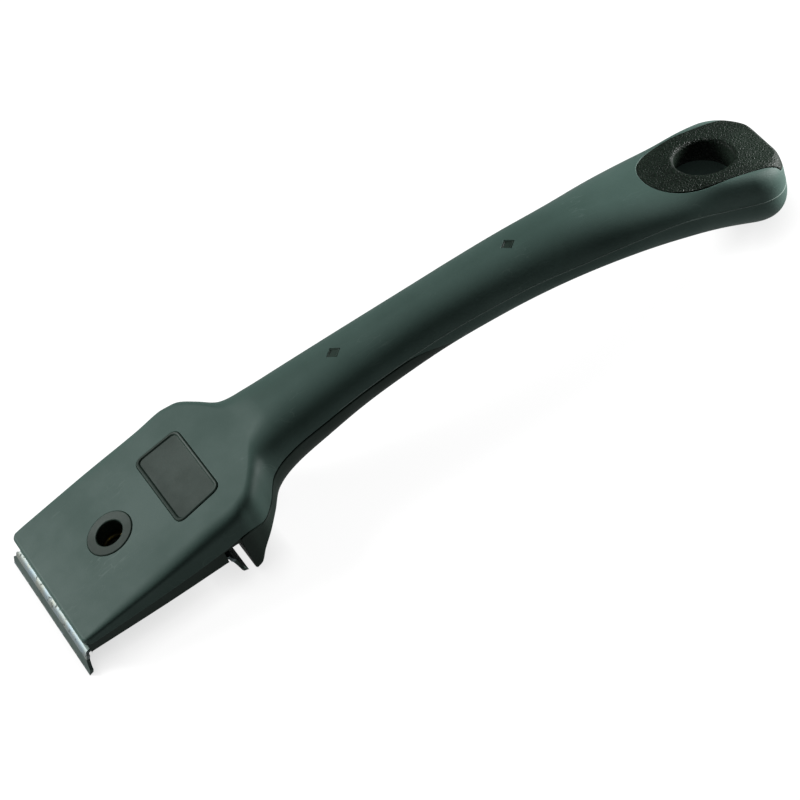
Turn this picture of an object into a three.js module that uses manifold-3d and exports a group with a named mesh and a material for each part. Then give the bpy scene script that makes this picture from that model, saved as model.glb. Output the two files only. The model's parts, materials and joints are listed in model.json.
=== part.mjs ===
// A two-edge hand scraper for wood and paint.
// A rigid moulded core carries the blade under a flat wedge-shaped head. A soft grip is moulded over the top
// of the head and round the arched handle, with windows that bosses of the core come through.
// A plate and a countersunk screw clamp the reversible blade, and the screw turns in a brass insert.

import * as THREE from 'three';
import { mergeVertices } from 'three/addons/utils/BufferGeometryUtils.js';
import Module from 'manifold-3d';

const wasm = await Module();
wasm.setup();

// Sizes are in millimetres and angles in degrees. The part is drawn with X from the front cutting edge to the
// end of the handle, Y across, and Z up from the cutting edges, square to the blade.
// At the end it is laid down on its front edge and its handle.

// Clearances, and how far a cut runs past what it cuts
const gap = 0.3;
const overrun = 60;

// Blade: a flat web with a sharpened lip bent down at each end
const bladeWidth = 63.5;
const bladeReach = 62.6;
const bladeThickness = 1.3;
const bladeHeight = 6.9;
const lipLean = 2.7;
const bendRadius = 1.5;
const bevelHeight = 1.1;
const webWidth = 56.4;
const bendWidth = 59.0;
const earWidth = 64.2;
const earHeight = 2.4;
const lipNeck = 2.9;
const bladeHoleDiameter = 7.6;

// Clamp plate and screw
const plateThickness = 2.5;
const plateLength = 42;
const plateWidth = 38;
const plateCorner = 5;
const screwDiameter = 6.35;
const screwLength = 9.3;
const screwHeadDiameter = 11.0;
const screwHeadRim = 0.3;
const screwEndChamfer = 0.6;
const driveLength = 6.2;
const driveWidth = 1.3;
const driveDepth = 1.5;

// Threaded insert
const insertDiameter = 12.4;
const insertLength = 5.4;
const insertGrooveDepth = 0.9;
const insertGrooveWidth = 1.6;

// Head
const headSetback = 3.9;
const headFrontWidth = 60.8;
const headWidth = 64.4;
const headFrontHeight = 13.2;
const headSlope = 10.2;
const headEdgeRadius = 1.1;
const headCorner = 3.0;
const railHeight = 6.5;
const railInset = 0.8;
const guardClearance = 2.5;
const guardThickness = 2.4;
const guardDrop = 2.9;
const slotLead = 1.6;
const slotHeight = 11.5;
const skinEdgeHeight = 10.1;

// Handle
const toolLength = 294.8;
const neckWidth = 32.8;
const gripWidth = 43.0;
const archHeight = 31.0;
const endRounding = 23;
const endEdge = 2.8;
const endUnder = 7.5;

// Soft grip, and where its lower edge leaves the side and closes round the handle
const skinThickness = 2.0;
const skinCloseFrom = 143;
const skinCloseTo = 169;

// Bosses of the core that come through the grip
const ringDiameter = 17.3;
const ringHoleDiameter = 10;
const badgeAt = 60.3;
const badgeLength = 18.3;
const badgeFrontWidth = 36.0;
const badgeRearWidth = 34.5;
const badgeCorner = 3.6;
const badgeRecess = 0.5;
const badgeChamfer = 0.7;
const diamondLength = 5.6;
const diamondWidth = 5.1;
const diamondRecess = 0.25;
const frontDiamondAt = 125.8;
const rearDiamondAt = 195.4;

// End pad and hanging hole
const hangAt = 271.2;
const hangLength = 21.3;
const hangWidth = 18.5;
const hangFunnel = 1.5;
const hangFunnelDepth = 1.4;
const collarWall = 2.0;
const collarDepth = 8.0;
const padPitch = 21;
const padTip = 24.4;
const padWidth = 31.2;
const padEndWidth = 33.2;
const tipShare = 0.70;
const bulgeShare = 0.58;

// Steps along and round the curved surfaces
const spanRows = 3;
const endRows = 9;
const cornerSteps = 6;
const roundSides = 40;
const cornerPower = 2.2;
const endPower = 2.32;
const edgePower = 2.1;
const rowSpace = 0.5;

// Places that follow from the sizes
const degrees = THREE.MathUtils.degToRad;
const headRise = Math.tan(degrees(headSlope));
const screwAt = bladeReach / 2;
const guardFront = bladeReach + guardClearance;
const headLength = guardFront + guardThickness;
const handleLength = toolLength - headLength;
const slotFront = bladeReach - lipLean - slotLead;
const seatHeight = bladeHeight + gap;
const webUnderside = bladeHeight - bladeThickness;
const plateTop = webUnderside - gap;
const screwBottom = plateTop - plateThickness;
const screwEnd = screwBottom + screwLength;
const insertBottom = seatHeight + gap;
const insertTop = insertBottom + insertLength;

// Outline of the body in stations from front to rear.
// Along runs from 0 to 1 over the head and from 1 to 2 over the handle. Half width, skin edge, top and bottom
// are shares of the named width and height. Soft columns tell how much of the half width and of the height
// the rounding takes, first of the upper half and then of the lower half. Lean is the section's tilt.
const headShares = [
  // along, half width, skin edge, bottom, soft top across and up, soft bottom across and up
  [0.52, 0.970, 1.11, -1.10, 0.170, 0.33, 0.04, 0.10],
  [0.86, 0.972, 1.24, -1.08, 0.180, 0.42, 0.04, 0.10],
  [1.000, 0.975, 1.40, -0.75, 0.155, 0.42, 0.04, 0.10],
  [1.015, 0.960, 1.36, 0.70, 0.165, 0.44, 0.05, 0.12],
  [1.035, 0.913, 1.25, 1.95, 0.200, 0.46, 0.10, 0.25],
  [1.057, 0.764, 1.26, 1.95, 0.300, 0.56, 0.32, 0.55],
  [1.083, 0.587, 1.64, 1.60, 0.560, 0.85, 0.60, 0.90],
];
const neckShares = [
  // along, half width, skin edge, top, bottom, soft top across and up, lean
  [1.123, 1.000, 0.613, 0.965, 0.170, 0.80, 0.96, 0],
  [1.189, 0.920, 0.652, 0.992, 0.250, 0.92, 0.97, 0],
  [1.259, 0.855, 0.678, 0.997, 0.316, 0.94, 0.97, 0],
  [1.333, 0.805, 0.680, 0.997, 0.335, 0.94, 0.97, 0],
  [1.408, 0.780, 0.665, 0.987, 0.332, 0.94, 0.97, 0],
];
const gripShares = [
  [1.487, 0.615, 0.626, 0.957, 0.300, 0.94, 0.97, 3],
  [1.561, 0.648, 0.571, 0.912, 0.245, 0.94, 0.97, 7],
  [1.640, 0.705, 0.495, 0.835, 0.160, 0.92, 0.97, 11],
  [1.724, 0.795, 0.390, 0.715, 0.040, 0.82, 0.96, 15],
  [1.803, 0.900, 0.245, 0.565, -0.175, 0.70, 0.90, 17],
  [1.882, 0.983, 0.048, 0.385, -0.420, 0.27, 0.64, 16],
  [2.000, 1.020, -0.380, 0.070, -0.875, 0.27, 0.64, 4],
];
const frontShares = [0.045, 0.36, 0.04, 0.1];
const softShare = 0.95;

function placeAlong(share) {
  return share < 1 ? share * headLength : headLength + (share - 1) * handleLength;
}

function topOfHead(x) {
  return headFrontHeight + (x - headSetback) * headRise;
}

function headStation([along, half, edge, bottom, topAcross, topUp, lowAcross, lowUp]) {
  const x = placeAlong(along);
  const top = topOfHead(x);
  return {
    x, half: half * headWidth / 2, edge: edge * skinEdgeHeight, top, bottom: bottom * guardDrop,
    topAcross, topUp, lowAcross, lowUp, lean: 0,
  };
}

function handleStation(width, [along, half, edge, top, bottom, topAcross, topUp, lean]) {
  return {
    x: placeAlong(along), half: half * width / 2, edge: edge * archHeight, top: top * archHeight,
    bottom: bottom * archHeight, topAcross, topUp, lowAcross: softShare, lowUp: softShare, lean,
  };
}

const [frontAcross, frontUp, frontLowAcross, frontLowUp] = frontShares;
const frontStation = {
  x: headSetback, half: headFrontWidth / 2, edge: skinEdgeHeight, top: headFrontHeight, bottom: -guardDrop,
  topAcross: frontAcross, topUp: frontUp, lowAcross: frontLowAcross, lowUp: frontLowUp, lean: 0,
};
const stations = [
  frontStation,
  ...headShares.map(headStation),
  ...neckShares.map((row) => handleStation(neckWidth, row)),
  ...gripShares.map((row) => handleStation(gripWidth, row)),
];

// A smooth curve through one column of the stations, at any place along the tool
function valueAt(name, x) {
  const last = stations.length - 1;
  const next = Math.min(Math.max(stations.findIndex((station) => station.x > x), 1), last);
  const i = x >= stations[last].x ? last - 1 : next - 1;
  const slope = (k) => {
    const before = stations[Math.max(k - 1, 0)];
    const after = stations[Math.min(k + 1, last)];
    return (after[name] - before[name]) / (after.x - before.x);
  };
  const from = stations[i];
  const to = stations[i + 1];
  const span = to.x - from.x;
  const t = (x - from.x) / span;
  const start = (1 + 2 * t) * (1 - t) ** 2 * from[name] + t * (1 - t) ** 2 * span * slope(i);
  const end = t * t * (3 - 2 * t) * to[name] + t * t * (t - 1) * span * slope(i + 1);
  return start + end;
}

// One quarter of a section, from the side to the middle: straight, then a rounded corner
function quarter(half, height, softAcross, softUp) {
  const points = [[half, 0]];
  for (let k = 0; k <= cornerSteps; k += 1) {
    const turn = (Math.PI / 2) * (k / cornerSteps);
    const across = Math.cos(turn) ** (2 / cornerPower);
    const up = Math.sin(turn) ** (2 / cornerPower);
    points.push([half - softAcross * (1 - across), height - softUp * (1 - up)]);
  }
  points.push([0, height]);
  return points;
}

// How much is left of a full section near the end of the handle
function closing(x, end, length, power) {
  const past = Math.min(Math.max((x - (end - length)) / length, 0), 1);
  return (1 - past ** power) ** (1 / power);
}

// The section of the body at a place along the tool, drawn in by an inset
function section(x, end, inset, edgeInset) {
  const lean = degrees(valueAt('lean', x));
  const edge = valueAt('edge', x);
  const across = closing(x, end, endRounding - inset, endPower);
  const rising = closing(x, end, endEdge - inset, edgePower);
  const sinking = closing(x, end, endUnder - inset, edgePower);
  const draw = inset + edgeInset;
  const half = valueAt('half', x);
  const up = (valueAt('top', x) - edge) * Math.cos(lean);
  const down = (edge - valueAt('bottom', x)) * Math.cos(lean);
  const soft = (name, size) => Math.max(valueAt(name, x) * size - inset, gap);
  const upper = quarter(half - draw, up - draw, soft('topAcross', half), soft('topUp', up));
  const lower = quarter(half - draw, down - draw, soft('lowAcross', half), soft('lowUp', down));
  const ring = [
    ...upper.slice(0, -1),
    ...upper.slice(1).reverse().map(([y, z]) => [-y, z]),
    ...lower.slice(0, -1).map(([y, z]) => [-y, -z]),
    ...lower.slice(1).reverse().map(([y, z]) => [y, -z]),
  ];
  return ring.map(([y, z]) => {
    const height = z * (z > 0 ? rising : sinking);
    return [x + height * Math.sin(lean), y * across, edge + height * Math.cos(lean)];
  });
}

// Places of the sections: closer together where the stations are, and toward the rounded end
function sectionPlaces(front, end, inset) {
  const start = end - endRounding + inset;
  const places = [];
  stations.slice(0, -1).forEach((station, i) => {
    for (let k = 0; k < spanRows; k += 1) {
      const x = station.x + (stations[i + 1].x - station.x) * (k / spanRows);
      if (x > front + headEdgeRadius * 2 && x < start - rowSpace) places.push(x);
    }
  });
  for (let k = 0; k < endRows; k += 1) {
    places.push(start + (end - start) * Math.sin((Math.PI / 2) * (k / endRows)));
  }
  return places;
}

// The whole body from the front of the head to the end of the handle, drawn in by an inset
function body(inset) {
  const front = headSetback + inset;
  const end = toolLength - inset;
  const round = Math.max(headEdgeRadius - inset, gap);
  const rings = [0, 0.5, 1].map((share) => {
    const turn = (Math.PI / 2) * share;
    return section(front + round * (1 - Math.cos(turn)), end, inset, round * (1 - Math.sin(turn)));
  });
  sectionPlaces(front, end, inset).forEach((x) => rings.push(section(x, end, inset, 0)));
  return solid(loft(rings, [front, 0, valueAt('edge', front)], [end, 0, valueAt('edge', end)]));
}

// A closed surface over rings of points, with a point in the middle of each end
function loft(rings, first, last) {
  const count = rings[0].length;
  const positions = [...rings.flat(), first, last];
  const firstIndex = positions.length - 2;
  const lastIndex = positions.length - 1;
  const faces = [];
  for (let j = 0; j < count; j += 1) {
    const next = (j + 1) % count;
    for (let i = 0; i < rings.length - 1; i += 1) {
      const a = i * count;
      const b = a + count;
      faces.push(a + j, a + next, b + next, a + j, b + next, b + j);
    }
    const tail = (rings.length - 1) * count;
    faces.push(firstIndex, next, j, lastIndex, tail + j, tail + next);
  }
  const geometry = new THREE.BufferGeometry();
  geometry.setAttribute('position', new THREE.Float32BufferAttribute(positions.flat(), 3));
  geometry.setIndex(faces);
  return geometry;
}

// A geometry as a solid that can be joined and cut
function solid(geometry) {
  const bare = geometry.clone();
  bare.deleteAttribute('normal');
  bare.deleteAttribute('uv');
  const merged = mergeVertices(bare);
  return new wasm.Manifold(new wasm.Mesh({
    numProp: 3,
    vertProperties: new Float32Array(merged.attributes.position.array),
    triVerts: new Uint32Array(merged.index.array),
  }));
}

// A solid as a named mesh
function piece(name, shape, material) {
  const { vertProperties, triVerts } = shape.getMesh();
  const geometry = new THREE.BufferGeometry();
  geometry.setAttribute('position', new THREE.BufferAttribute(new Float32Array(vertProperties), 3));
  geometry.setIndex(new THREE.BufferAttribute(new Uint32Array(triVerts), 1));
  geometry.computeVertexNormals();
  const mesh = new THREE.Mesh(geometry, material);
  mesh.name = name;
  return mesh;
}

// A box between two corners
function block(x0, x1, y0, y1, z0, z1) {
  const geometry = new THREE.BoxGeometry(x1 - x0, y1 - y0, z1 - z0);
  return solid(geometry.translate((x0 + x1) / 2, (y0 + y1) / 2, (z0 + z1) / 2));
}

// An outline drawn out to a depth
function drawnOut(shape, depth) {
  return new THREE.ExtrudeGeometry(shape, { depth, bevelEnabled: false, curveSegments: cornerSteps });
}

// An outline in X and Y, standing from one height to another
function standing(shape, z0, z1) {
  return solid(drawnOut(shape, z1 - z0).translate(0, 0, z0));
}

// An outline in X and Z, running across from -half to half
function crossing(shape, half) {
  return solid(drawnOut(shape, 2 * half).rotateX(Math.PI / 2).translate(0, half, 0));
}

// A turned shape on an upright axis, from its radius and height pairs
function turned(profile, x) {
  const points = profile.map(([radius, height]) => new THREE.Vector2(radius, height));
  const geometry = new THREE.LatheGeometry(points, roundSides);
  return solid(geometry.rotateX(Math.PI / 2).translate(x, 0, 0));
}

// An upright round bar or bore
function bar(x, diameter, z0, z1) {
  return turned([[0, z0], [diameter / 2, z0], [diameter / 2, z1], [0, z1]], x);
}

// The blade's side view, with its bends, and its lips trimmed to their ears
function makeBlade() {
  const lip = Math.atan2(lipLean, bladeHeight);
  const outer = bendRadius + bladeThickness;
  const centreHeight = bladeHeight - outer;
  const centreAt = (outer + Math.sin(lip) * centreHeight) / Math.cos(lip);
  const innerStart = (bevelHeight + bladeThickness * Math.sin(lip)) / Math.cos(lip);
  const bevelAt = bladeThickness * Math.cos(lip) + innerStart * Math.sin(lip);
  const side = new THREE.Shape();
  side.moveTo(bevelAt, bevelHeight);
  side.lineTo(0, 0);
  side.absarc(centreAt, centreHeight, outer, Math.PI - lip, Math.PI / 2, true);
  side.absarc(bladeReach - centreAt, centreHeight, outer, Math.PI / 2, lip, true);
  side.lineTo(bladeReach, 0);
  side.lineTo(bladeReach - bevelAt, bevelHeight);
  side.absarc(bladeReach - centreAt, centreHeight, bendRadius, lip, Math.PI / 2, false);
  side.absarc(centreAt, centreHeight, bendRadius, Math.PI / 2, Math.PI - lip, false);
  side.closePath();

  const front = new THREE.Shape();
  const neckHeight = (earHeight + bladeHeight) / 2;
  front.moveTo(-bladeWidth / 2, 0);
  front.lineTo(bladeWidth / 2, 0);
  front.lineTo(earWidth / 2, earHeight);
  front.quadraticCurveTo(bendWidth / 2, (earHeight + neckHeight) / 2, bendWidth / 2, neckHeight);
  front.lineTo(bendWidth / 2, bladeHeight + overrun);
  front.lineTo(-bendWidth / 2, bladeHeight + overrun);
  front.lineTo(-bendWidth / 2, neckHeight);
  front.quadraticCurveTo(-bendWidth / 2, (earHeight + neckHeight) / 2, -earWidth / 2, earHeight);
  front.closePath();
  const trim = drawnOut(front, bladeReach + 2 * overrun);
  trim.rotateX(Math.PI / 2).rotateZ(Math.PI / 2).translate(-overrun, 0, 0);

  const wide = earWidth / 2 + overrun;
  return crossing(side, wide)
    .intersect(solid(trim))
    .subtract(block(lipNeck, bladeReach - lipNeck, -wide, -webWidth / 2, -overrun, seatHeight))
    .subtract(block(lipNeck, bladeReach - lipNeck, webWidth / 2, wide, -overrun, seatHeight))
    .subtract(bar(screwAt, bladeHoleDiameter, 0, seatHeight));
}

// A four-sided outline with rounded corners, that may be narrower at its rear
function taperedOutline(x, length, frontWidth, rearWidth, corner) {
  const x0 = x - length / 2;
  const x1 = x + length / 2;
  const front = frontWidth / 2;
  const rear = rearWidth / 2;
  const shape = new THREE.Shape();
  shape.moveTo(x0 + corner, -front);
  shape.lineTo(x1 - corner, -rear);
  shape.quadraticCurveTo(x1, -rear, x1, corner - rear);
  shape.lineTo(x1, rear - corner);
  shape.quadraticCurveTo(x1, rear, x1 - corner, rear);
  shape.lineTo(x0 + corner, front);
  shape.quadraticCurveTo(x0, front, x0, front - corner);
  shape.lineTo(x0, corner - front);
  shape.quadraticCurveTo(x0, -front, x0 + corner, -front);
  return shape;
}

// The plate that holds the blade up, countersunk for the screw
function makeClampPlate() {
  const outline = taperedOutline(screwAt, plateLength, plateWidth, plateWidth, plateCorner);
  const headRadius = screwHeadDiameter / 2 + gap;
  const shankRadius = screwDiameter / 2 + gap;
  const sinkTop = screwBottom + screwHeadRim + (headRadius - shankRadius);
  const sink = turned([
    [0, screwBottom - overrun], [headRadius, screwBottom - overrun],
    [headRadius, screwBottom + screwHeadRim], [shankRadius, sinkTop],
    [shankRadius, plateTop + overrun], [0, plateTop + overrun],
  ], screwAt);
  return standing(outline, screwBottom, plateTop).subtract(sink);
}

// A countersunk machine screw with a cross drive
function makeClampScrew() {
  const headRadius = screwHeadDiameter / 2;
  const shankRadius = screwDiameter / 2;
  const neckHeight = screwBottom + screwHeadRim + headRadius - shankRadius;
  const shape = turned([
    [0, screwBottom], [headRadius, screwBottom], [headRadius, screwBottom + screwHeadRim],
    [shankRadius, neckHeight], [shankRadius, screwEnd - screwEndChamfer],
    [shankRadius - screwEndChamfer, screwEnd], [0, screwEnd],
  ], screwAt);
  const drive = (length, width) => block(
    screwAt - length / 2, screwAt + length / 2, -width / 2, width / 2,
    screwBottom - overrun, screwBottom + driveDepth,
  );
  return shape.subtract(drive(driveLength, driveWidth)).subtract(drive(driveWidth, driveLength));
}

// The turned outline of the insert, grown all round by a clearance
function insertProfile(bore, clearance) {
  const middle = (insertBottom + insertTop) / 2;
  const outside = insertDiameter / 2 + clearance;
  const waist = outside - insertGrooveDepth;
  const lip = insertGrooveWidth / 2 - clearance;
  return [
    [bore, insertBottom - clearance], [outside, insertBottom - clearance], [outside, middle - lip],
    [waist, middle - lip], [waist, middle + lip], [outside, middle + lip],
    [outside, insertTop + clearance], [bore, insertTop + clearance],
  ];
}

function makeInsert() {
  const bore = screwDiameter / 2 + gap;
  const profile = insertProfile(bore, 0);
  return turned([...profile, profile[0]], screwAt);
}

// Everything below the grip's lower edge, raised by a clearance.
// The edge follows the sides of the head and the neck, then drops away, and the grip closes round the handle.
function belowSkin(clearance) {
  const shape = new THREE.Shape();
  const floor = -overrun;
  shape.moveTo(-overrun, floor);
  shape.lineTo(-overrun, skinEdgeHeight + clearance);
  stations.filter((station) => station.x < skinCloseFrom).forEach((station, i, list) => {
    const after = i + 1 < list.length ? list[i + 1].x : skinCloseFrom;
    for (let k = 0; k < spanRows; k += 1) {
      const x = station.x + (after - station.x) * (k / spanRows);
      shape.lineTo(x, valueAt('edge', x) + clearance);
    }
  });
  const turnAt = (skinCloseFrom + skinCloseTo) / 2;
  const closed = skinCloseTo + clearance;
  shape.lineTo(skinCloseFrom, valueAt('edge', skinCloseFrom) + clearance);
  shape.quadraticCurveTo(turnAt, valueAt('edge', turnAt), closed, valueAt('bottom', skinCloseTo));
  shape.lineTo(closed, floor);
  shape.closePath();
  return crossing(shape, headWidth);
}

// Places a shape on the end pad, with the shape's Z square to the pad
function onPad(shape) {
  return shape.rotate([0, padPitch, 0]).translate([hangAt, 0, valueAt('top', hangAt)]);
}

// A turned shape in the hanging hole's oval plan, square to the handle, a wall wider than the hole
function ovalOnPad(profile, wall) {
  const squeeze = (hangWidth + 2 * wall) / (hangLength + 2 * wall);
  return onPad(turned(profile, 0).scale([1, squeeze, 1]));
}

// The hanging hole, with a funnel at its upper rim
function makeHangHole() {
  const bore = hangLength / 2;
  const mouth = bore + hangFunnel;
  return ovalOnPad([
    [0, -overrun], [bore, -overrun], [bore, -hangFunnelDepth], [mouth, 0], [mouth, overrun], [0, overrun],
  ], 0);
}

// The bore lining that the grip has below the end pad
function makeCollar(wall) {
  const radius = hangLength / 2 + wall;
  return ovalOnPad([[0, -overrun], [radius, -overrun], [radius, -collarDepth], [0, -collarDepth]], wall);
}

// The end pad's outline, from its rounded tip to past the end of the handle, and down to the parting line
function makePadZone(grow) {
  const atEnd = toolLength - hangAt;
  const past = atEnd + overrun;
  const tip = -padTip - grow;
  const half = padWidth / 2 + grow;
  const rear = padEndWidth / 2 + grow;
  const shape = new THREE.Shape();
  shape.moveTo(tip, 0);
  shape.bezierCurveTo(tip, -half * tipShare, tip * bulgeShare, -half, 0, -half);
  shape.lineTo(atEnd, -rear);
  shape.lineTo(past, -rear);
  shape.lineTo(past, rear);
  shape.lineTo(atEnd, rear);
  shape.lineTo(0, half);
  shape.bezierCurveTo(tip * bulgeShare, half, tip, half * tipShare, tip, 0);
  const underside = new THREE.Shape();
  underside.moveTo(skinCloseTo, -overrun);
  for (let k = 0; k <= endRows; k += 1) {
    const x = skinCloseTo + (toolLength - skinCloseTo) * (k / endRows);
    underside.lineTo(x, valueAt('edge', x) - grow);
  }
  underside.lineTo(toolLength + overrun, valueAt('edge', toolLength) - grow);
  underside.lineTo(toolLength + overrun, -overrun);
  underside.closePath();
  return onPad(standing(shape, -overrun, overrun)).subtract(crossing(underside, headWidth));
}

function makeDiamond(x, grow) {
  const shape = new THREE.Shape();
  shape.moveTo(x - diamondLength / 2 - grow, 0);
  shape.lineTo(x, -diamondWidth / 2 - grow);
  shape.lineTo(x + diamondLength / 2 + grow, 0);
  shape.lineTo(x, diamondWidth / 2 + grow);
  shape.closePath();
  return standing(shape, valueAt('edge', x), archHeight + overrun);
}

function makeBadge(grow) {
  const outline = taperedOutline(
    badgeAt, badgeLength + 2 * grow,
    badgeFrontWidth + 2 * grow, badgeRearWidth + 2 * grow, badgeCorner + grow,
  );
  return standing(outline, skinEdgeHeight, archHeight + overrun);
}

function makeRing(grow) {
  return bar(screwAt, ringDiameter + 2 * grow, skinEdgeHeight, archHeight + overrun);
}

// The rigid core: filling of the grip, everything below the grip's edge, and the bosses in the windows
function makeCore(outer) {
  const wide = headWidth;
  const filling = body(skinThickness + gap);
  const bosses = [
    body(railInset).intersect(belowSkin(0)),
    outer.intersect(belowSkin(0)).subtract(block(0, guardFront - gap, -wide, wide, -overrun, archHeight)),
    outer.intersect(makeRing(-gap)),
    body(badgeRecess).intersect(makeBadge(-gap - badgeChamfer)),
    body(badgeRecess + badgeChamfer).intersect(makeBadge(-gap)),
    body(diamondRecess).intersect(makeDiamond(frontDiamondAt, -gap)),
    body(diamondRecess).intersect(makeDiamond(rearDiamondAt, -gap)),
    outer.intersect(makePadZone(-gap)),
  ];
  const cuts = [
    block(-overrun, guardFront, -wide, wide, -overrun, railHeight),
    block(-overrun, slotFront, -webWidth / 2 - gap, webWidth / 2 + gap, -overrun, seatHeight),
    block(slotFront, guardFront, -wide, wide, -overrun, slotHeight),
    turned([...insertProfile(0, gap)], screwAt),
    bar(screwAt, ringHoleDiameter, insertTop, archHeight + overrun),
    makeCollar(collarWall + gap),
    makeHangHole(),
  ];
  const joined = bosses.reduce((sum, boss) => sum.add(boss), filling);
  return cuts.reduce((rest, cut) => rest.subtract(cut), joined);
}

// The outline that rounds the front corners of the grip in plan
function makeFrontOutline() {
  const length = toolLength + overrun;
  const shape = taperedOutline(headSetback + length / 2, length, headFrontWidth, 2 * headWidth, headCorner);
  return standing(shape, -overrun, archHeight + overrun);
}

// The soft grip: the skin over the core, with its windows and the lining of the hanging hole
function makeGrip(outer) {
  const inside = body(skinThickness).subtract(makeCollar(collarWall));
  const cuts = [
    inside, belowSkin(gap), makeRing(0), makeBadge(0),
    makeDiamond(frontDiamondAt, 0), makeDiamond(rearDiamondAt, 0), makePadZone(0), makeHangHole(),
  ];
  return cuts.reduce((rest, cut) => rest.subtract(cut), outer.intersect(makeFrontOutline()));
}

// Materials
function paint(color, roughness, metalness) {
  return new THREE.MeshStandardMaterial({ color, roughness, metalness });
}
const gripRubber = paint(0x46524e, 0.62, 0);
const coreNylon = paint(0x33342f, 0.5, 0);
const bladeSteel = paint(0x4d5452, 0.4, 0.6);
const zincSteel = paint(0xb9bcb8, 0.35, 0.9);
const brass = paint(0xb08d45, 0.35, 0.9);

const outerBody = body(0);
const tool = new THREE.Group();
tool.add(
  piece('soft_grip', makeGrip(outerBody), gripRubber),
  piece('handle_core', makeCore(outerBody), coreNylon),
  piece('threaded_insert', makeInsert(), brass),
  piece('blade', makeBlade(), bladeSteel),
  piece('clamp_plate', makeClampPlate(), zincSteel),
  piece('clamp_screw', makeClampScrew(), zincSteel),
);

// Laid down: the tool turns about its front edge until the handle touches the ground,
// and the middle of its box is the origin
function layDown(group) {
  const point = new THREE.Vector3();
  let fall = 0;
  group.children.forEach((mesh) => {
    const places = mesh.geometry.attributes.position;
    for (let i = 0; i < places.count; i += 1) {
      point.fromBufferAttribute(places, i);
      if (point.x > headSetback) fall = Math.max(fall, Math.atan2(-point.z, point.x));
    }
  });
  group.rotation.y = -fall;
  group.updateMatrixWorld(true);
  const box = new THREE.Box3().setFromObject(group, true);
  group.position.set(-(box.min.x + box.max.x) / 2, 0, -box.min.z);
}

layDown(tool);
const scraper = new THREE.Group();
scraper.add(tool);

export default scraper;
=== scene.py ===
# %% [markdown]
# # A hand scraper
# A flat wedge-shaped head carries a bent steel blade, and an arched handle runs up from it.
# One rigid moulding goes through the whole tool, and a soft grip is moulded over it.
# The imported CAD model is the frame: it says where every piece is and which body it moves with.

# %% Load the frame
import json

import bpy
import numpy as np
from mathutils import Matrix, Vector
from mathutils.geometry import delaunay_2d_cdt


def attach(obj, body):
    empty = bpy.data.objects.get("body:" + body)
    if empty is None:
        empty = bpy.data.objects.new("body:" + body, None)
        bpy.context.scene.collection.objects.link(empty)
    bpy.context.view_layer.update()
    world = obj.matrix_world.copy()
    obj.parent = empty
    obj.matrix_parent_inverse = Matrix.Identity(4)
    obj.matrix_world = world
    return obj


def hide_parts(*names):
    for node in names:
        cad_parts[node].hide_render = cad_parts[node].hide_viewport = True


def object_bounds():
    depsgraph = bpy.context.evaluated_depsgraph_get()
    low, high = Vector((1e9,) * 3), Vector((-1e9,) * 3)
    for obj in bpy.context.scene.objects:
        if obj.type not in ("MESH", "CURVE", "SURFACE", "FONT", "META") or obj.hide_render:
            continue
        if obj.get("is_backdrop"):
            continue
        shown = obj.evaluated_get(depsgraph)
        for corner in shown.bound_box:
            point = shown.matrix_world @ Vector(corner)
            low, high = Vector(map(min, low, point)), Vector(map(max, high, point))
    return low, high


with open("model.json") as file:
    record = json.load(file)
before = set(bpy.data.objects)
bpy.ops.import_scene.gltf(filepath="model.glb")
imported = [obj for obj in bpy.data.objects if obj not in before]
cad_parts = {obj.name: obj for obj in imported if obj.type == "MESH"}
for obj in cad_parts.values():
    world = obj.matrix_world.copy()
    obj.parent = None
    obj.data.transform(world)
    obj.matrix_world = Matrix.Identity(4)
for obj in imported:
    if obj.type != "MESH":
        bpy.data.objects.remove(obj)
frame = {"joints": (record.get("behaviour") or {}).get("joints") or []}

cad_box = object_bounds()

# %% [markdown]
# The shapes are worked out in millimetres in a drawing frame: x from the front cutting edge to the end of
# the handle, y across, z up and square to the blade. On the bench the tool lies tilted on its front edge
# and its handle. The screw's joint gives that tilt and the place of the screw, so nothing is fitted by eye.

# %% From the drawing to the bench
mm = 0.001
screw_at = 31.3
screw_joint = next(j for j in frame["joints"] if j["name"] == "screw_turn")
up_axis = -np.array(screw_joint["axis"], float)
along_axis = np.array([up_axis[2], 0.0, -up_axis[0]])
across_axis = np.array([0.0, 1.0, 0.0])
lay = np.stack([along_axis, across_axis, up_axis])
origin = np.array(screw_joint["pos_m"], float) - along_axis * screw_at * mm


def on_bench(points):
    """Drawing to bench: each coordinate times its axis, summed, plus the place of the cutting edge."""
    return origin + (np.asarray(points, float) * mm) @ lay


def turned_to_bench(directions):
    """A direction only turns with the axes and isn't moved."""
    return np.asarray(directions, float) @ lay


print("tilt in degrees:", round(float(np.degrees(np.arctan2(-up_axis[0], up_axis[2]))), 3))

# %% [markdown]
# The body of the real tool flows from a flat wedge into an arched handle. It could be a box that is
# modelled by hand and subdivided. Here it is one long surface given by numbers, because the grip, the
# moulding under it and every rim then share exactly the same shape. At each station along it a half
# width, a top, a bottom, the height of the grip's lower edge and how soft the corners are say what the
# section looks like, and a smooth curve through each column gives the section anywhere between them.

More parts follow.
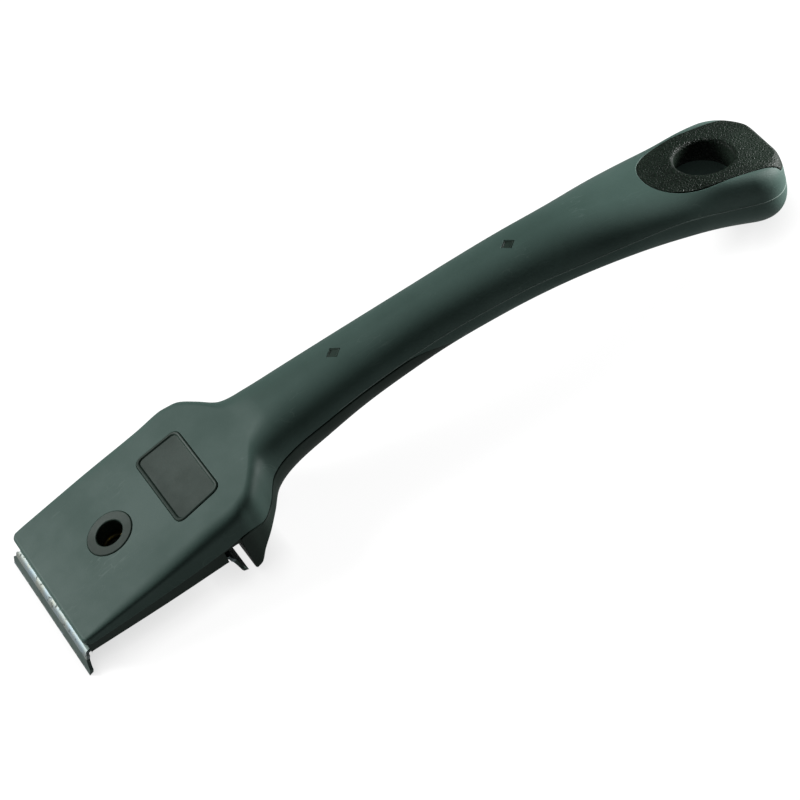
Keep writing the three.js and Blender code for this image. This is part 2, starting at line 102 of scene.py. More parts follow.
# %% Sizes of the tool, in millimetres
tool_length = 294.8
head_setback, head_front_width, head_width = 3.9, 60.8, 64.4
head_front_height, head_slope, head_edge_radius, head_corner, corner_run = 13.2, 10.2, 1.1, 2.7, 7.0
rail_height, rail_inset = 6.5, 0.8
blade_reach, guard_clearance, guard_thickness, guard_drop = 62.6, 2.5, 2.4, 2.9
guard_front = blade_reach + guard_clearance
head_length = guard_front + guard_thickness
handle_length = tool_length - head_length
slot_front, slot_height, seat_height = 58.3, 11.5, 7.2
skin_edge_height = 10.1
neck_width, grip_width, arch_height = 32.8, 43.0, 31.0
end_rounding, end_edge, end_under = 18.4, 3.5, 17.0
corner_power, end_power, edge_power = 2.2, 2.06, 2.1
skin_close_from, skin_close_to = 143.0, 169.0

# %% Stations along the tool
head_rows = np.array([
    # along, half width, grip edge, bottom, soft top across and up, soft bottom across and up
    [0.52, 0.970, 1.11, -1.10, 0.170, 0.33, 0.04, 0.10],
    [0.86, 0.972, 1.24, -1.08, 0.180, 0.42, 0.04, 0.10],
    [1.000, 0.975, 1.40, -0.75, 0.155, 0.42, 0.04, 0.10],
    [1.015, 0.960, 1.36, 0.70, 0.165, 0.44, 0.05, 0.12],
    [1.035, 0.913, 1.25, 1.95, 0.200, 0.46, 0.10, 0.25],
    [1.057, 0.764, 1.26, 1.95, 0.300, 0.56, 0.32, 0.55],
    [1.083, 0.587, 1.64, 1.60, 0.560, 0.85, 0.60, 0.90],
])
handle_rows = np.array([
    # width, along, half width, grip edge, top, bottom, soft top across and up, lean
    [neck_width, 1.123, 1.000, 0.613, 0.965, 0.170, 0.80, 0.96, 0],
    [neck_width, 1.189, 0.920, 0.652, 0.992, 0.250, 0.92, 0.97, 0],
    [neck_width, 1.259, 0.855, 0.678, 0.997, 0.316, 0.94, 0.97, 0],
    [neck_width, 1.333, 0.805, 0.680, 0.997, 0.335, 0.94, 0.97, 0],
    [neck_width, 1.408, 0.780, 0.665, 0.987, 0.332, 0.94, 0.97, 0],
    [grip_width, 1.487, 0.615, 0.626, 0.957, 0.300, 0.94, 0.97, 3],
    [grip_width, 1.561, 0.648, 0.571, 0.912, 0.245, 0.94, 0.97, 7],
    [grip_width, 1.640, 0.701, 0.465, 0.842, 0.159, 0.92, 0.97, 11],
    [grip_width, 1.724, 0.813, 0.385, 0.710, 0.020, 0.82, 0.96, 15],
    [grip_width, 1.803, 0.894, 0.270, 0.556, -0.177, 0.728, 0.91, 17],
    [grip_width, 1.882, 0.938, 0.032, 0.397, -0.416, 0.27, 0.75, 16],
    [grip_width, 2.000, 1.130, -0.278, 0.092, -0.884, 0.42, 0.62, 4],
])
front_station = [head_setback, head_front_width / 2, skin_edge_height, head_front_height, -guard_drop,
                 0.045, 0.36, 0.04, 0.1, 0]
soft_share = 0.95


def place_along(share):
    """Shares from 0 to 1 run over the head, and from 1 to 2 over the handle."""
    return np.where(share < 1, share * head_length, head_length + (share - 1) * handle_length)


def top_of_head(x):
    """The head's top is a flat wedge: its front height plus the run times the slope."""
    return head_front_height + (x - head_setback) * np.tan(np.radians(head_slope))


def all_stations():
    """Rows as x, half, edge, top, bottom, top across, top up, low across, low up and lean."""
    head, grip, x = head_rows.T, handle_rows.T, place_along(head_rows[:, 0])
    soft = np.full(grip.shape[1], soft_share)
    head = [x, head[1] * head_width / 2, head[2] * skin_edge_height, top_of_head(x), head[3] * guard_drop,
            *head[4:], 0 * x]
    grip = [place_along(grip[1]), grip[2] * grip[0] / 2, *(grip[3:6] * arch_height), *grip[6:8], soft, soft,
            grip[8]]
    return np.vstack([front_station, np.column_stack(head), np.column_stack(grip)])


stations = all_stations()
print("stations:", len(stations))

# %% [markdown]
# The surface has two coordinates: x along the tool, and w round the section. w is 1 on the middle of the
# top, 0 and 2 on the two sides at the height of the grip's edge, and -1 and 3 on the middle of the
# underside. A corner is a superellipse, which is rounder than a square and squarer than a circle.

# %% The surface of the body
edge_column, top_column, bottom_column = 2, 3, 4


def curve_through(x, column):
    """Cubic through the stations; its slope at one is its neighbours' rise over their run."""
    at, value = stations[:, 0], stations[:, column]
    before, after = np.maximum(np.arange(len(at)) - 1, 0), np.minimum(np.arange(len(at)) + 1, len(at) - 1)
    slope = (value[after] - value[before]) / (at[after] - at[before])
    i = np.clip(np.searchsorted(at, x, side="right") - 1, 0, len(at) - 2)
    span = at[i + 1] - at[i]
    t = (x - at[i]) / span
    return ((1 + 2 * t) * (1 - t) ** 2 * value[i] + t * (1 - t) ** 2 * span * slope[i]
            + t * t * (3 - 2 * t) * value[i + 1] + t * t * (t - 1) * span * slope[i + 1])


def closing(x, length, power):
    """What is left of a section near the handle's end: a superellipse over the last length."""
    past = np.clip((x - (tool_length - length)) / length, 0, 1)
    return (1 - past ** power) ** (1 / power)


def past_corner(y):
    """How far y is into one of the head's rounded front corners."""
    return np.clip(np.abs(y) - (head_front_width / 2 - head_corner), 0, head_corner)


def pushed_back(y):
    """How far the front stands back there: the radius less the height of a circle."""
    return head_corner - np.sqrt(head_corner ** 2 - past_corner(y) ** 2)


def quarter(q, half, height, across, up):
    """A quarter section: straight side for a quarter of q, corner for half of it, then flat."""
    corner = np.clip((q - 0.25) / 0.5, 0, 1) * np.pi / 2
    y = half - across * (1 - np.clip(np.cos(corner), 0, 1) ** (2 / corner_power))
    y = y - (half - across) * np.clip((q - 0.75) / 0.25, 0, 1)
    z = np.clip(q / 0.25, 0, 1) * (height - up) + up * np.sin(corner) ** (2 / corner_power)
    return y, z


def body_point(x, w, draw=0.0):
    """Point at x and w, drawn in by a distance: a quarter section, mirrored, leant and closed."""
    x, w, draw = np.broadcast_arrays(np.asarray(x, float), np.asarray(w, float), draw)
    side = np.where((w > 1) | (w < -1), -1.0, 1.0)
    q = np.where(w > 1, 2 - w, np.where(w < -1, -2 - w, w))
    half, edge, top, bottom, ta, tu, la, lu, lean = (curve_through(x, k) for k in range(1, 10))
    lean = np.radians(lean)
    full = np.where(q >= 0, top - edge, edge - bottom) * np.cos(lean)
    y, z = quarter(np.abs(q), half - draw, full - draw, np.where(q >= 0, ta, la) * half,
                   np.where(q >= 0, tu, lu) * full)
    height = np.where(q >= 0, z * closing(x, end_edge, edge_power), -z * closing(x, end_under, edge_power))
    y = y * closing(x, end_rounding, end_power) * side
    push = pushed_back(y) * np.clip(1 - (x - head_setback) / corner_run, 0, 1) ** 2
    return np.stack([x + push + height * np.sin(lean), y, edge + height * np.cos(lean)], axis=-1)


def unit(v):
    """A vector over its own length."""
    return v / np.maximum(np.linalg.norm(v, axis=-1, keepdims=True), 1e-12)


def body_normal(x, w, step_x=0.01, step_w=0.002):
    """Outward normal: the cross product of the steps round the section and along the tool."""
    x = np.minimum(x, tool_length - 2 * step_x)
    along = body_point(x + step_x, w) - body_point(x - step_x, w)
    around = body_point(x, w + step_w) - body_point(x, w - step_w)
    return unit(np.cross(around, along))


def on_body(x, w):
    """Points of the surface and their normals."""
    return body_point(x, w), body_normal(x, w)


probe = body_normal(np.array([100.0, 100.0, 100.0]), np.array([1.0, 0.0, 2.0]))
print("normals at the top and the two sides:", probe.round(2).tolist())

# %% [markdown]
# A real surface is smooth everywhere but its mesh isn't. A subdivision modifier could smooth it, but it
# would also soften the fine rims. So each vertex stores the exact normal of the formula that made it: the
# light runs over the piece without facets, and rims stay crisp. Faces are turned to agree with those
# normals, so every piece points outwards.

# %% Sheets: points, normals and faces
def quads(index):
    """Four-sided faces between the rows and columns of a grid of vertex numbers."""
    return np.stack([index[:-1, :-1], index[1:, :-1], index[1:, 1:], index[:-1, 1:]], -1).reshape(-1, 4)


def as_sheet(place, facing, closed=False, pole=None):
    """A grid as a sheet: closed joins its last column to its first, and a pole row is one point."""
    index = np.arange(place[..., 0].size).reshape(place.shape[:2])
    if pole is not None:
        index[pole] = index[pole, 0]
    if closed:
        index = np.concatenate([index, index[:, :1]], axis=1)
    return place.reshape(-1, 3), np.broadcast_to(facing, place.shape).reshape(-1, 3), [quads(index)]


def joined(parts):
    """Puts sheets together: their faces count on from the vertices before them."""
    starts = np.cumsum([0] + [len(points) for points, _, _ in parts])
    faces = [f + start for (_, _, sheet_faces), start in zip(parts, starts) for f in sheet_faces]
    return np.vstack([p for p, _, _ in parts]), np.vstack([n for _, n, _ in parts]), faces


def without_repeats(face_list):
    """Three-sided faces stay; a four-sided one with two equal corners becomes three-sided."""
    tris, fours = [np.zeros((0, 3), int)], [np.zeros((0, 4), int)]
    for faces in face_list:
        if faces.shape[1] == 3:
            tris.append(faces)
            continue
        same = np.stack([faces[:, k] == faces[:, (k + 1) % 4] for k in range(4)], -1)
        fours.append(faces[~same.any(1)])
        tris += [np.delete(faces[same[:, k] & (same.sum(1) == 1)], k, axis=1) for k in range(4)]
    tris = np.vstack(tris)
    ok = (tris[:, 0] != tris[:, 1]) & (tris[:, 1] != tris[:, 2]) & (tris[:, 0] != tris[:, 2])
    return tris[ok], np.vstack(fours)


def facing_out(faces, points, normals):
    """Turns each face whose own normal is against the mean of its corners' normals."""
    own = np.cross(points[faces[:, 2]] - points[faces[:, 0]], points[faces[:, -1]] - points[faces[:, 1]])
    against = (own * normals[faces].sum(1)).sum(-1) < 0
    faces = faces.copy()
    faces[against] = faces[against][:, ::-1]
    return faces


# %% Making a piece
def in_scene(name, data):
    """A new object, linked into the scene."""
    made = bpy.data.objects.new(name, data)
    bpy.context.scene.collection.objects.link(made)
    return made


def new_piece(name, body, node, parts, finish, wear=None):
    """One mesh object on the bench with its normals, its wear attribute, its body and its node."""
    points, normals, faces = joined(parts)
    tris, fours = (facing_out(f, points, normals) for f in without_repeats(faces))
    mesh = bpy.data.meshes.new(name)
    mesh.from_pydata(on_bench(points).tolist(), [], tris.tolist() + fours.tolist())
    mesh.validate()
    mesh.shade_smooth()
    mesh.normals_split_custom_set_from_vertices(turned_to_bench(unit(normals)).tolist())
    if wear is not None:
        mark = mesh.attributes.new("wear", "FLOAT", "POINT")
        mark.data.foreach_set("value", np.asarray(wear(points, normals), np.float32))
    mesh.materials.append(finish)
    piece = in_scene(name, mesh)
    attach(piece, body)
    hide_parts(node)
    print(name, "faces:", len(mesh.polygons))


# %% [markdown]
# Real finishes are never even: they have grain from the mould, cloudy marks from hands, worn edges and
# scratches. Painted images could show them, but noise has no seams and stays sharp at any distance. It is
# worked out from Object coordinates, so it stays on the piece when the piece moves. Each effect is one
# node group, used by several materials with their own values. A group only gives numbers that change over
# the surface; the shader stays in the material.

# %% Helpers for node trees
def feed(tree, value, socket):
    """Links another node's socket, or sets a plain value."""
    if isinstance(value, bpy.types.NodeSocket):
        tree.links.new(value, socket)
    else:
        socket.default_value = value


def node_with(tree, kind, **values):
    """A new node with its inputs fed; an underscore in a name stands for a space."""
    node = tree.nodes.new("ShaderNode" + kind)
    for socket, value in values.items():
        feed(tree, value, node.inputs[socket.replace("_", " ")])
    return node


def object_place(tree):
    """Object coordinates."""
    return tree.nodes.new("ShaderNodeTexCoord").outputs["Object"]


def noise_node(tree, scale, detail, rough, vector=None):
    """A noise texture that reads Object coordinates unless it is given others."""
    place = object_place(tree) if vector is None else vector
    return node_with(tree, "TexNoise", Scale=scale, Detail=detail, Roughness=rough, Vector=place)


def math_node(tree, operation, a, b, clamp=False):
    """One sum of two sockets or numbers."""
    node = tree.nodes.new("ShaderNodeMath")
    node.operation, node.use_clamp = operation, clamp
    feed(tree, a, node.inputs[0])
    feed(tree, b, node.inputs[1])
    return node.outputs[0]


def over_cut(tree, value, cut, gain):
    """A mask of what lies over a cut: the rest times a gain, kept between 0 and 1."""
    return math_node(tree, "MULTIPLY", math_node(tree, "SUBTRACT", value, cut), gain, True)


def map_range(tree, value, smooth=False, **limits):
    """A Map Range node with some of its limits set, straight or as a smooth step."""
    node = node_with(tree, "MapRange", Value=value, **limits)
    node.interpolation_type = "SMOOTHSTEP" if smooth else "LINEAR"
    return node.outputs["Result"]


# %% Node groups for grain, marks, worn edges and scratches
def new_group(name, output, **inputs):
    """A shader node group with number sockets; gives it with its input sockets and its output."""
    group = bpy.data.node_groups.new(name, "ShaderNodeTree")
    for socket, value in inputs.items():
        made = group.interface.new_socket(name=socket, in_out="INPUT", socket_type="NodeSocketFloat")
        made.default_value = value
    group.interface.new_socket(name=output, in_out="OUTPUT", socket_type="NodeSocketFloat")
    return group, group.nodes.new("NodeGroupInput").outputs, group.nodes.new("NodeGroupOutput").inputs[0]


def grain_group():
    """Fine grain: two noises of which the second is three times finer, mixed and centred on zero."""
    group, given, out = new_group("moulded grain", "Height", Scale=900.0, Strength=1.0)
    coarse = noise_node(group, given["Scale"], 4.0, 0.55)
    fine = noise_node(group, math_node(group, "MULTIPLY", given["Scale"], 3.1), 2.0, 0.55)
    both = math_node(group, "ADD", coarse.outputs["Fac"], fine.outputs["Fac"])
    centred = math_node(group, "SUBTRACT", both, 1.0)
    feed(group, math_node(group, "MULTIPLY", centred, given["Strength"]), out)
    return group


def marks_group():
    """Handling marks: a broad noise turned into a soft mask around its middle."""
    group, given, out = new_group("handling marks", "Mask", Scale=40.0, Amount=0.5)
    broad = noise_node(group, given["Scale"], 5.0, 0.6)
    soft = map_range(group, broad.outputs["Fac"], True, From_Min=0.35, From_Max=0.68)
    feed(group, math_node(group, "MULTIPLY", soft, given["Amount"]), out)
    return group


def worn_edge_group():
    """Worn edges: the piece's own wear attribute, broken up by noise."""
    group, given, out = new_group("worn edges", "Mask", Scale=500.0, Amount=1.0, Cut=0.5)
    mark = group.nodes.new("ShaderNodeAttribute")
    mark.attribute_name = "wear"
    broken = noise_node(group, given["Scale"], 4.0, 0.65)
    uneven = math_node(group, "SUBTRACT", broken.outputs["Fac"], 0.5)
    cut = over_cut(group, math_node(group, "ADD", mark.outputs["Fac"], uneven), given["Cut"], 6.0)
    feed(group, math_node(group, "MULTIPLY", cut, given["Amount"]), out)
    return group


def scratch_group():
    """Scratches: thin lines where a stretched noise passes its middle, kept only in patches."""
    group, given, out = new_group("fine scratches", "Mask", Scale=60.0, Amount=0.5, Angle=0.5)
    angles = node_with(group, "CombineXYZ", Z=given["Angle"]).outputs["Vector"]
    stretch = node_with(group, "Mapping", Vector=object_place(group), Rotation=angles, Scale=(1.0, 5.0, 1.0))
    lines = noise_node(group, given["Scale"], 1.5, 0.5, stretch.outputs["Vector"])
    patches = noise_node(group, 45.0, 2.0, 0.5)
    off = math_node(group, "ABSOLUTE", math_node(group, "SUBTRACT", lines.outputs["Fac"], 0.5), 0.0)
    thin = math_node(group, "SUBTRACT", 1.0, math_node(group, "MULTIPLY", off, 90.0), True)
    both = math_node(group, "MULTIPLY", thin, over_cut(group, patches.outputs["Fac"], 0.5, 7.0))
    feed(group, math_node(group, "MULTIPLY", both, given["Amount"]), out)
    return group


grain, marks, worn_edges, scratches = grain_group(), marks_group(), worn_edge_group(), scratch_group()
print("groups:", [g.name for g in (grain, marks, worn_edges, scratches)])


# %% Helpers for a material
def new_finish(name, roughness=0.5, metallic=0.0, specular=0.5):
    """A material with a principled shader; its constant values sit on the shader's own sockets."""
    material = bpy.data.materials.new(name)
    material.use_nodes = True
    shader = material.node_tree.nodes["Principled BSDF"]
    for socket, value in (("Roughness", roughness), ("Metallic", metallic), ("Specular IOR Level", specular)):
        shader.inputs[socket].default_value = value
    return material, material.node_tree, shader


def placed(tree, group, **values):
    """The output of a node group that is placed in a material with its own values."""
    node = tree.nodes.new("ShaderNodeGroup")
    node.node_tree = group
    for socket, value in values.items():
        node.inputs[socket].default_value = value
    return node.outputs[0]


def blend_colours(tree, mask, low, high):
    """Mixes two colours, or a colour and a socket, by a mask."""
    mix = tree.nodes.new("ShaderNodeMix")
    mix.data_type = "RGBA"
    feed(tree, mask, mix.inputs["Factor"])
    for socket, value in zip((mix.inputs[6], mix.inputs[7]), (low, high)):
        feed(tree, (*value, 1.0) if isinstance(value, tuple) else value, socket)
    return mix.outputs[2]


def specks(tree, scale, cut):
    """Rare spots: the handling marks' mask above a high cut."""
    return over_cut(tree, placed(tree, marks, Scale=scale, Amount=1.0), cut, 6.0)


def set_looks(tree, shader, colour, mask, dull, smooth):
    """Colour to the shader, and a mask mapped onto its roughness, from dull to smooth."""
    feed(tree, colour, shader.inputs["Base Color"])
    feed(tree, map_range(tree, mask, To_Min=dull, To_Max=smooth), shader.inputs["Roughness"])


def bump(tree, shader, height, strength, distance):
    """A Bump node that feeds the shader's Normal."""
    node = node_with(tree, "Bump", Strength=strength, Distance=distance, Height=height)
    feed(tree, node.outputs["Normal"], shader.inputs["Normal"])


def grained(tree, shader, scale, strength, distance):
    """Moulded grain as bump."""
    bump(tree, shader, placed(tree, grain, Scale=scale, Strength=1.0), strength, distance)


print("a finish is a colour, a roughness and a bump")

# %% [markdown]
# The grip is a soft elastomer: grey-green, matt, with a very fine eggshell grain from the mould, and
# slightly lighter and smoother where hands and benches have rubbed it. One flat colour would look like
# new plastic, so two near tones are mixed by the marks, and rubbed edges, scratches and specks go on top.

# %% The grip's finish
def grip_finish():
    """Grey-green elastomer: colour and roughness follow the marks, height follows the grain."""
    material, tree, shader = new_finish("grip elastomer", specular=0.14)
    mark = placed(tree, marks, Scale=26.0, Amount=1.0)
    colour = blend_colours(tree, mark, (0.046, 0.082, 0.070), (0.058, 0.098, 0.085))
    # This mask lightens rubbed edges, and along the mould's seam it is a painted highlight.
    rubbed = placed(tree, worn_edges, Scale=700.0, Amount=0.8, Cut=0.62)
    colour = blend_colours(tree, rubbed, colour, (0.17, 0.22, 0.20))
    lines = placed(tree, scratches, Scale=70.0, Amount=0.35, Angle=0.9)
    colour = blend_colours(tree, lines, colour, (0.12, 0.17, 0.15))
    colour = blend_colours(tree, specks(tree, 420.0, 0.985), colour, (0.028, 0.050, 0.043))
    set_looks(tree, shader, colour, mark, 0.60, 0.50)
    grained(tree, shader, 1500.0, 0.22, 0.00012)
    return material


grip_elastomer = grip_finish()
print("made:", grip_elastomer.name)

# %% [markdown]
# The rigid moulding is darker and browner than the grip. Its end pad has a leather grain: small rounded
# pebbles with creases between them. Noise would give soft hills without creases, so the height comes from
# a Voronoi pattern's distance to a cell's edge, and a little noise keeps the cells from looking regular.

# %% The moulding's finishes
def moulding_finish():
    """Dark brown-grey nylon with a fine grain, a little polished by handling."""
    material, tree, shader = new_finish("core nylon", specular=0.16)
    mark = placed(tree, marks, Scale=34.0, Amount=1.0)
    colour = blend_colours(tree, mark, (0.018, 0.032, 0.025), (0.028, 0.047, 0.038))
    rubbed = placed(tree, worn_edges, Scale=600.0, Amount=0.5, Cut=0.6)
    set_looks(tree, shader, blend_colours(tree, rubbed, colour, (0.10, 0.125, 0.11)), mark, 0.58, 0.46)
    grained(tree, shader, 1100.0, 0.2, 0.00012)
    return material


def pad_finish():
    """Near-black pad: pebbles from a cell's edge distance, cells wandering a little, creases in painted
    shade.
    """
    material, tree, shader = new_finish("pad leather grain", specular=0.10)
    wander, reach = noise_node(tree, 700.0, 2.0, 0.5).outputs["Color"], (0.0012, 0.0012, 0.0012)
    moved = tree.nodes.new("ShaderNodeVectorMath")
    moved.operation = "MULTIPLY_ADD"
    for socket, value in zip(moved.inputs, (wander, reach, object_place(tree))):
        feed(tree, value, socket)
    cells = node_with(tree, "TexVoronoi", Scale=900.0, Vector=moved.outputs["Vector"])
    cells.feature = "DISTANCE_TO_EDGE"
    pebble = map_range(tree, cells.outputs["Distance"], True, From_Max=0.35)
    # Painted shade: the creases between the pebbles are coloured darker than their tops.
    dark = blend_colours(tree, pebble, (0.001, 0.004, 0.002), (0.007, 0.014, 0.009))
    mark = placed(tree, marks, Scale=60.0, Amount=1.0)
    set_looks(tree, shader, blend_colours(tree, mark, dark, (0.008, 0.015, 0.010)), pebble, 0.60, 0.42)
    bump(tree, shader, pebble, 0.7, 0.0002)
    return material


core_nylon, pad_grain = moulding_finish(), pad_finish()
print("made:", core_nylon.name, "and", pad_grain.name)

# %% [markdown]
# Three metals are left: the blade's dark hardened steel, worn bright along its bend and its edges; the
# zinc plated plate and screw; and the insert's brass. Worn metal could be a second material on chosen
# faces, but its border would follow the mesh. A wear value on each vertex, broken up by noise, gives a
# ragged border instead.

# %% The metals' finishes
def blade_finish():
    """Blued steel: where the wear mask is high, bare metal in two tones with dark specks."""
    material, tree, shader = new_finish("blade steel", metallic=0.6, specular=0.4)
    mark = placed(tree, marks, Scale=70.0, Amount=1.0)
    dark = blend_colours(tree, mark, (0.062, 0.092, 0.082), (0.092, 0.126, 0.115))
    bare = placed(tree, worn_edges, Scale=420.0, Amount=1.0, Cut=0.62)
    tone = placed(tree, marks, Scale=160.0, Amount=1.0)
    metal = blend_colours(tree, tone, (0.23, 0.25, 0.22), (0.20, 0.26, 0.29))
    metal = blend_colours(tree, specks(tree, 520.0, 0.80), metal, (0.05, 0.06, 0.055))
    set_looks(tree, shader, blend_colours(tree, bare, dark, metal), bare, 0.62, 0.55)
    grained(tree, shader, 1600.0, 0.25, 0.0001)
    return material


def plated_finish(name, low, high, roughness):
    """Plated metal: two tones by the marks, rougher where it is duller, with a faint grain."""
    material, tree, shader = new_finish(name, roughness, metallic=1.0)
    mark = placed(tree, marks, Scale=120.0, Amount=1.0)
    rubbed = placed(tree, worn_edges, Scale=900.0, Amount=0.5, Cut=0.6)
    bright = tuple(min(1.0, c * 1.25) for c in high)
    colour = blend_colours(tree, rubbed, blend_colours(tree, mark, low, high), bright)
    set_looks(tree, shader, colour, mark, roughness + 0.1, roughness - 0.06)
    grained(tree, shader, 1800.0, 0.15, 0.0001)
    return material


blade_steel = blade_finish()
zinc_steel = plated_finish("zinc steel", (0.40, 0.41, 0.40), (0.58, 0.59, 0.57), 0.32)
brass = plated_finish("insert brass", (0.24, 0.19, 0.08), (0.38, 0.31, 0.14), 0.4)

# %% [markdown]
# The real grip is one skin moulded over the body. Its sheet is a grid of rows along the tool and columns
# round it. A grid that is even in w would leave facets in tight corners, so columns crowd there, and rows
# crowd where the shape changes quickly. The first and last columns follow the parting line, where the
# grip ends and the rigid moulding shows: it runs along the sides, then drops and meets itself under the
# handle.

# %% Rows and columns of the grip
rim = 0.35
parting_gap = 0.2
skin_lift = rim + parting_gap


def halved(too_far, low, high):
    """Where a test starts to hold between low and high, by halving the space between them."""
    for _ in range(40):
        middle = (low + high) / 2
        far = too_far(middle)
        low, high = np.where(far, low, middle), np.where(far, middle, high)
    return (low + high) / 2


def w_at_height(x, goal, low):
    """w on the near side where the section at x is as high as the goal."""
    return halved(lambda w: body_point(x, w)[..., 2] > goal, np.full_like(x, low), np.full_like(x, 0.9))


def parting_height(x, lift):
    """Side view of the parting line: the edge column, then a curve down to the underside."""
    a, c = skin_close_from, skin_close_to + lift
    b = (skin_close_from + skin_close_to) / 2
    run = b - a
    t = np.clip((x - a) / (run + np.sqrt(np.maximum(run ** 2 + (a - 2 * b + c) * (x - a), 0))), 0, 1)
    start, middle = curve_through(np.array([a, b]), edge_column)
    end = curve_through(np.array([c]), bottom_column)[0]
    drop = (1 - t) ** 2 * (start + lift) + 2 * t * (1 - t) * middle + t * t * end
    return np.where(x < a, curve_through(x, edge_column) + lift, drop)


def parting_w(x, lift):
    """w of the parting line on the near side; where the grip is closed it is the underside's middle."""
    return np.where(x >= skin_close_to + lift, -1.0, w_at_height(x, parting_height(x, lift), -1.0))


def rows_between(*stretches):
    """Places in order, each stretch divided into equal steps of about the given size."""
    return np.concatenate([np.linspace(a, b, max(int(round((b - a) / step)), 1), endpoint=False)
                           for a, b, step in stretches])


def end_rows(count):
    """Rows over the rounded end: they follow the sine of equal angles, so they crowd at the tip."""
    return tool_length - end_rounding * (1 - np.sin(np.pi / 2 * np.linspace(0, 1, count)))


def crowded(start, tip, count):
    """Rows from start to tip whose distance from the tip shrinks with the square."""
    return tip - (tip - start) * np.linspace(1, 0, count) ** 2


def spread_columns(x, first, middle, count):
    """w for each row and column: equal steps of length plus 3 mm for each radian of turning."""
    w = first[:, None] + (middle - first[:, None]) * np.linspace(0, 1, 161)
    step = np.diff(body_point(np.minimum(x, tool_length - 0.05)[:, None], w), axis=1)
    angle = np.unwrap(np.arctan2(step[..., 2], step[..., 1]), axis=1)
    bend = np.abs(np.diff(angle, axis=1, prepend=angle[:, :1]))
    weight = np.linalg.norm(step, axis=-1) + 3.0 * np.minimum(bend, 0.5) + 1e-6
    weight = np.concatenate([np.zeros((len(x), 1)), np.cumsum(weight, axis=1)], 1)
    even = np.linspace(0, 1, count)
    half = np.stack([np.interp(even * row[-1], row, line) for row, line in zip(weight, w)])
    return np.concatenate([half, 2 * middle - half[:, -2::-1]], axis=1)


row_step, fine_step, fine_from, fine_to, crowd_from, crowd_rows = 0.8, 0.5, 60, 92, 150, 24
skin_tip = skin_close_to + skin_lift
grip_rows = np.concatenate([
    rows_between((head_setback + head_edge_radius, fine_from, row_step), (fine_from, fine_to, fine_step),
                 (fine_to, crowd_from, row_step)),
    crowded(crowd_from, skin_tip, crowd_rows)[:-1],
    rows_between((skin_tip, tool_length - end_rounding, row_step)), end_rows(36)])
grip_w = spread_columns(grip_rows, parting_w(grip_rows, skin_lift), 1.0, 66)
print("grip grid:", grip_w.shape)

# %% [markdown]
# Windows go through the grip for the ring, the badge, two small diamonds, the end pad and the hanging
# hole. A Boolean modifier could cut them, but it leaves long thin faces whose shading breaks at the rim.
# Here a window's outline is drawn flat, and each of its points is walked over the surface until it lies
# above its place in the drawing. The outlines come first.

# %% Outlines as they are drawn
hang_at, hang_length, hang_width, pad_pitch = 271.2, 21.3, 18.5, 21.0
badge_at, badge_front, badge_rear, badge_half, badge_corner = 60.3, 18.0, 17.25, 9.15, 3.6
front_diamond_at, rear_diamond_at, diamond_long, diamond_wide = 125.8, 195.4, 2.8, 2.55
ring_window = 8.78
level_along = np.array([1.0, 0.0, 0.0])
pad_axis = np.array([np.sin(np.radians(pad_pitch)), 0, np.cos(np.radians(pad_pitch))])
pad_along = np.array([np.cos(np.radians(pad_pitch)), 0, -np.sin(np.radians(pad_pitch))])
pad_middle = np.array([hang_at, 0.0, curve_through(np.array([hang_at]), top_column)[0]])


def oval_outline(long, wide, count, at=0.0):
    """An oval: the cosine and sine of equal angles times its two radii."""
    angle = np.linspace(0, 2 * np.pi, count, endpoint=False)
    return np.stack([at + long * np.cos(angle), wide * np.sin(angle)], -1)


def rounded_outline(corners, radius, count):
    """Each corner becomes a curve from one radius before it to one after; points at equal steps."""
    corners = np.asarray(corners, float)
    start = corners + radius * unit(np.roll(corners, 1, 0) - corners)
    stop = corners + radius * unit(np.roll(corners, -1, 0) - corners)
    t = np.linspace(0, 1, 16)[None, :, None]
    curve = (1 - t) ** 2 * start[:, None] + 2 * t * (1 - t) * corners[:, None] + t * t * stop[:, None]
    line = np.vstack([curve.reshape(-1, 2), curve[0, :1]])
    length = np.concatenate([[0], np.cumsum(np.linalg.norm(np.diff(line, axis=0), axis=1))])
    at = np.linspace(0, length[-1], count, endpoint=False)
    return np.stack([np.interp(at, length, line[:, k]) for k in (0, 1)], -1)


def badge_outline(grow):
    """The badge's four corners, a little narrower at the rear, grown by a distance."""
    front, rear, half = badge_front + grow, badge_rear + grow, badge_half + grow
    corners = [(badge_at - half, -front), (badge_at + half, -rear), (badge_at + half, rear),
               (badge_at - half, front)]
    return rounded_outline(corners, badge_corner + grow, 240)


def diamond_outline(at, grow):
    """Four corners, slightly rounded; a slanted side moves out by grow, so a corner by 1.4 times it."""
    long, wide = diamond_long + grow * 1.4, diamond_wide + grow * 1.4
    return rounded_outline([(at - long, 0), (at, -wide), (at + long, 0), (at, wide)], 0.35, 64)


def ring_outline(radius):
    """A circle round the screw."""
    return oval_outline(radius, radius, 120, screw_at)


def hole_outline(grow):
    """The hanging hole's oval in the pad's own drawing, grown by a distance."""
    return oval_outline(hang_length / 2 + grow, hang_width / 2 + grow, 144)


print("points in the outlines:", len(badge_outline(0)), len(ring_outline(1)), len(hole_outline(0)))

# %% [markdown]
# Each outline is now carried onto the surface as pairs of x and w, by trying a place and halving the
# error. The end pad's outline is longer: it runs along the top, over the corner and down the end.

# %% Outlines carried onto the surface
pad_tip, pad_half, pad_end_half, tip_share, bulge_share, pad_turn = 24.4, 15.6, 16.6, 0.70, 0.58, 0.42


def w_at_width(x, y, under=False):
    """w where the section at x is as wide as y, on the upper or the lower quarter."""
    sign = -1 if under else 1
    q = halved(lambda q: body_point(x, sign * q)[..., 1] <= np.abs(y), np.zeros_like(x), np.ones_like(x))
    return np.where(y >= 0, -q, q - 2) if under else np.where(y >= 0, q, 2 - q)


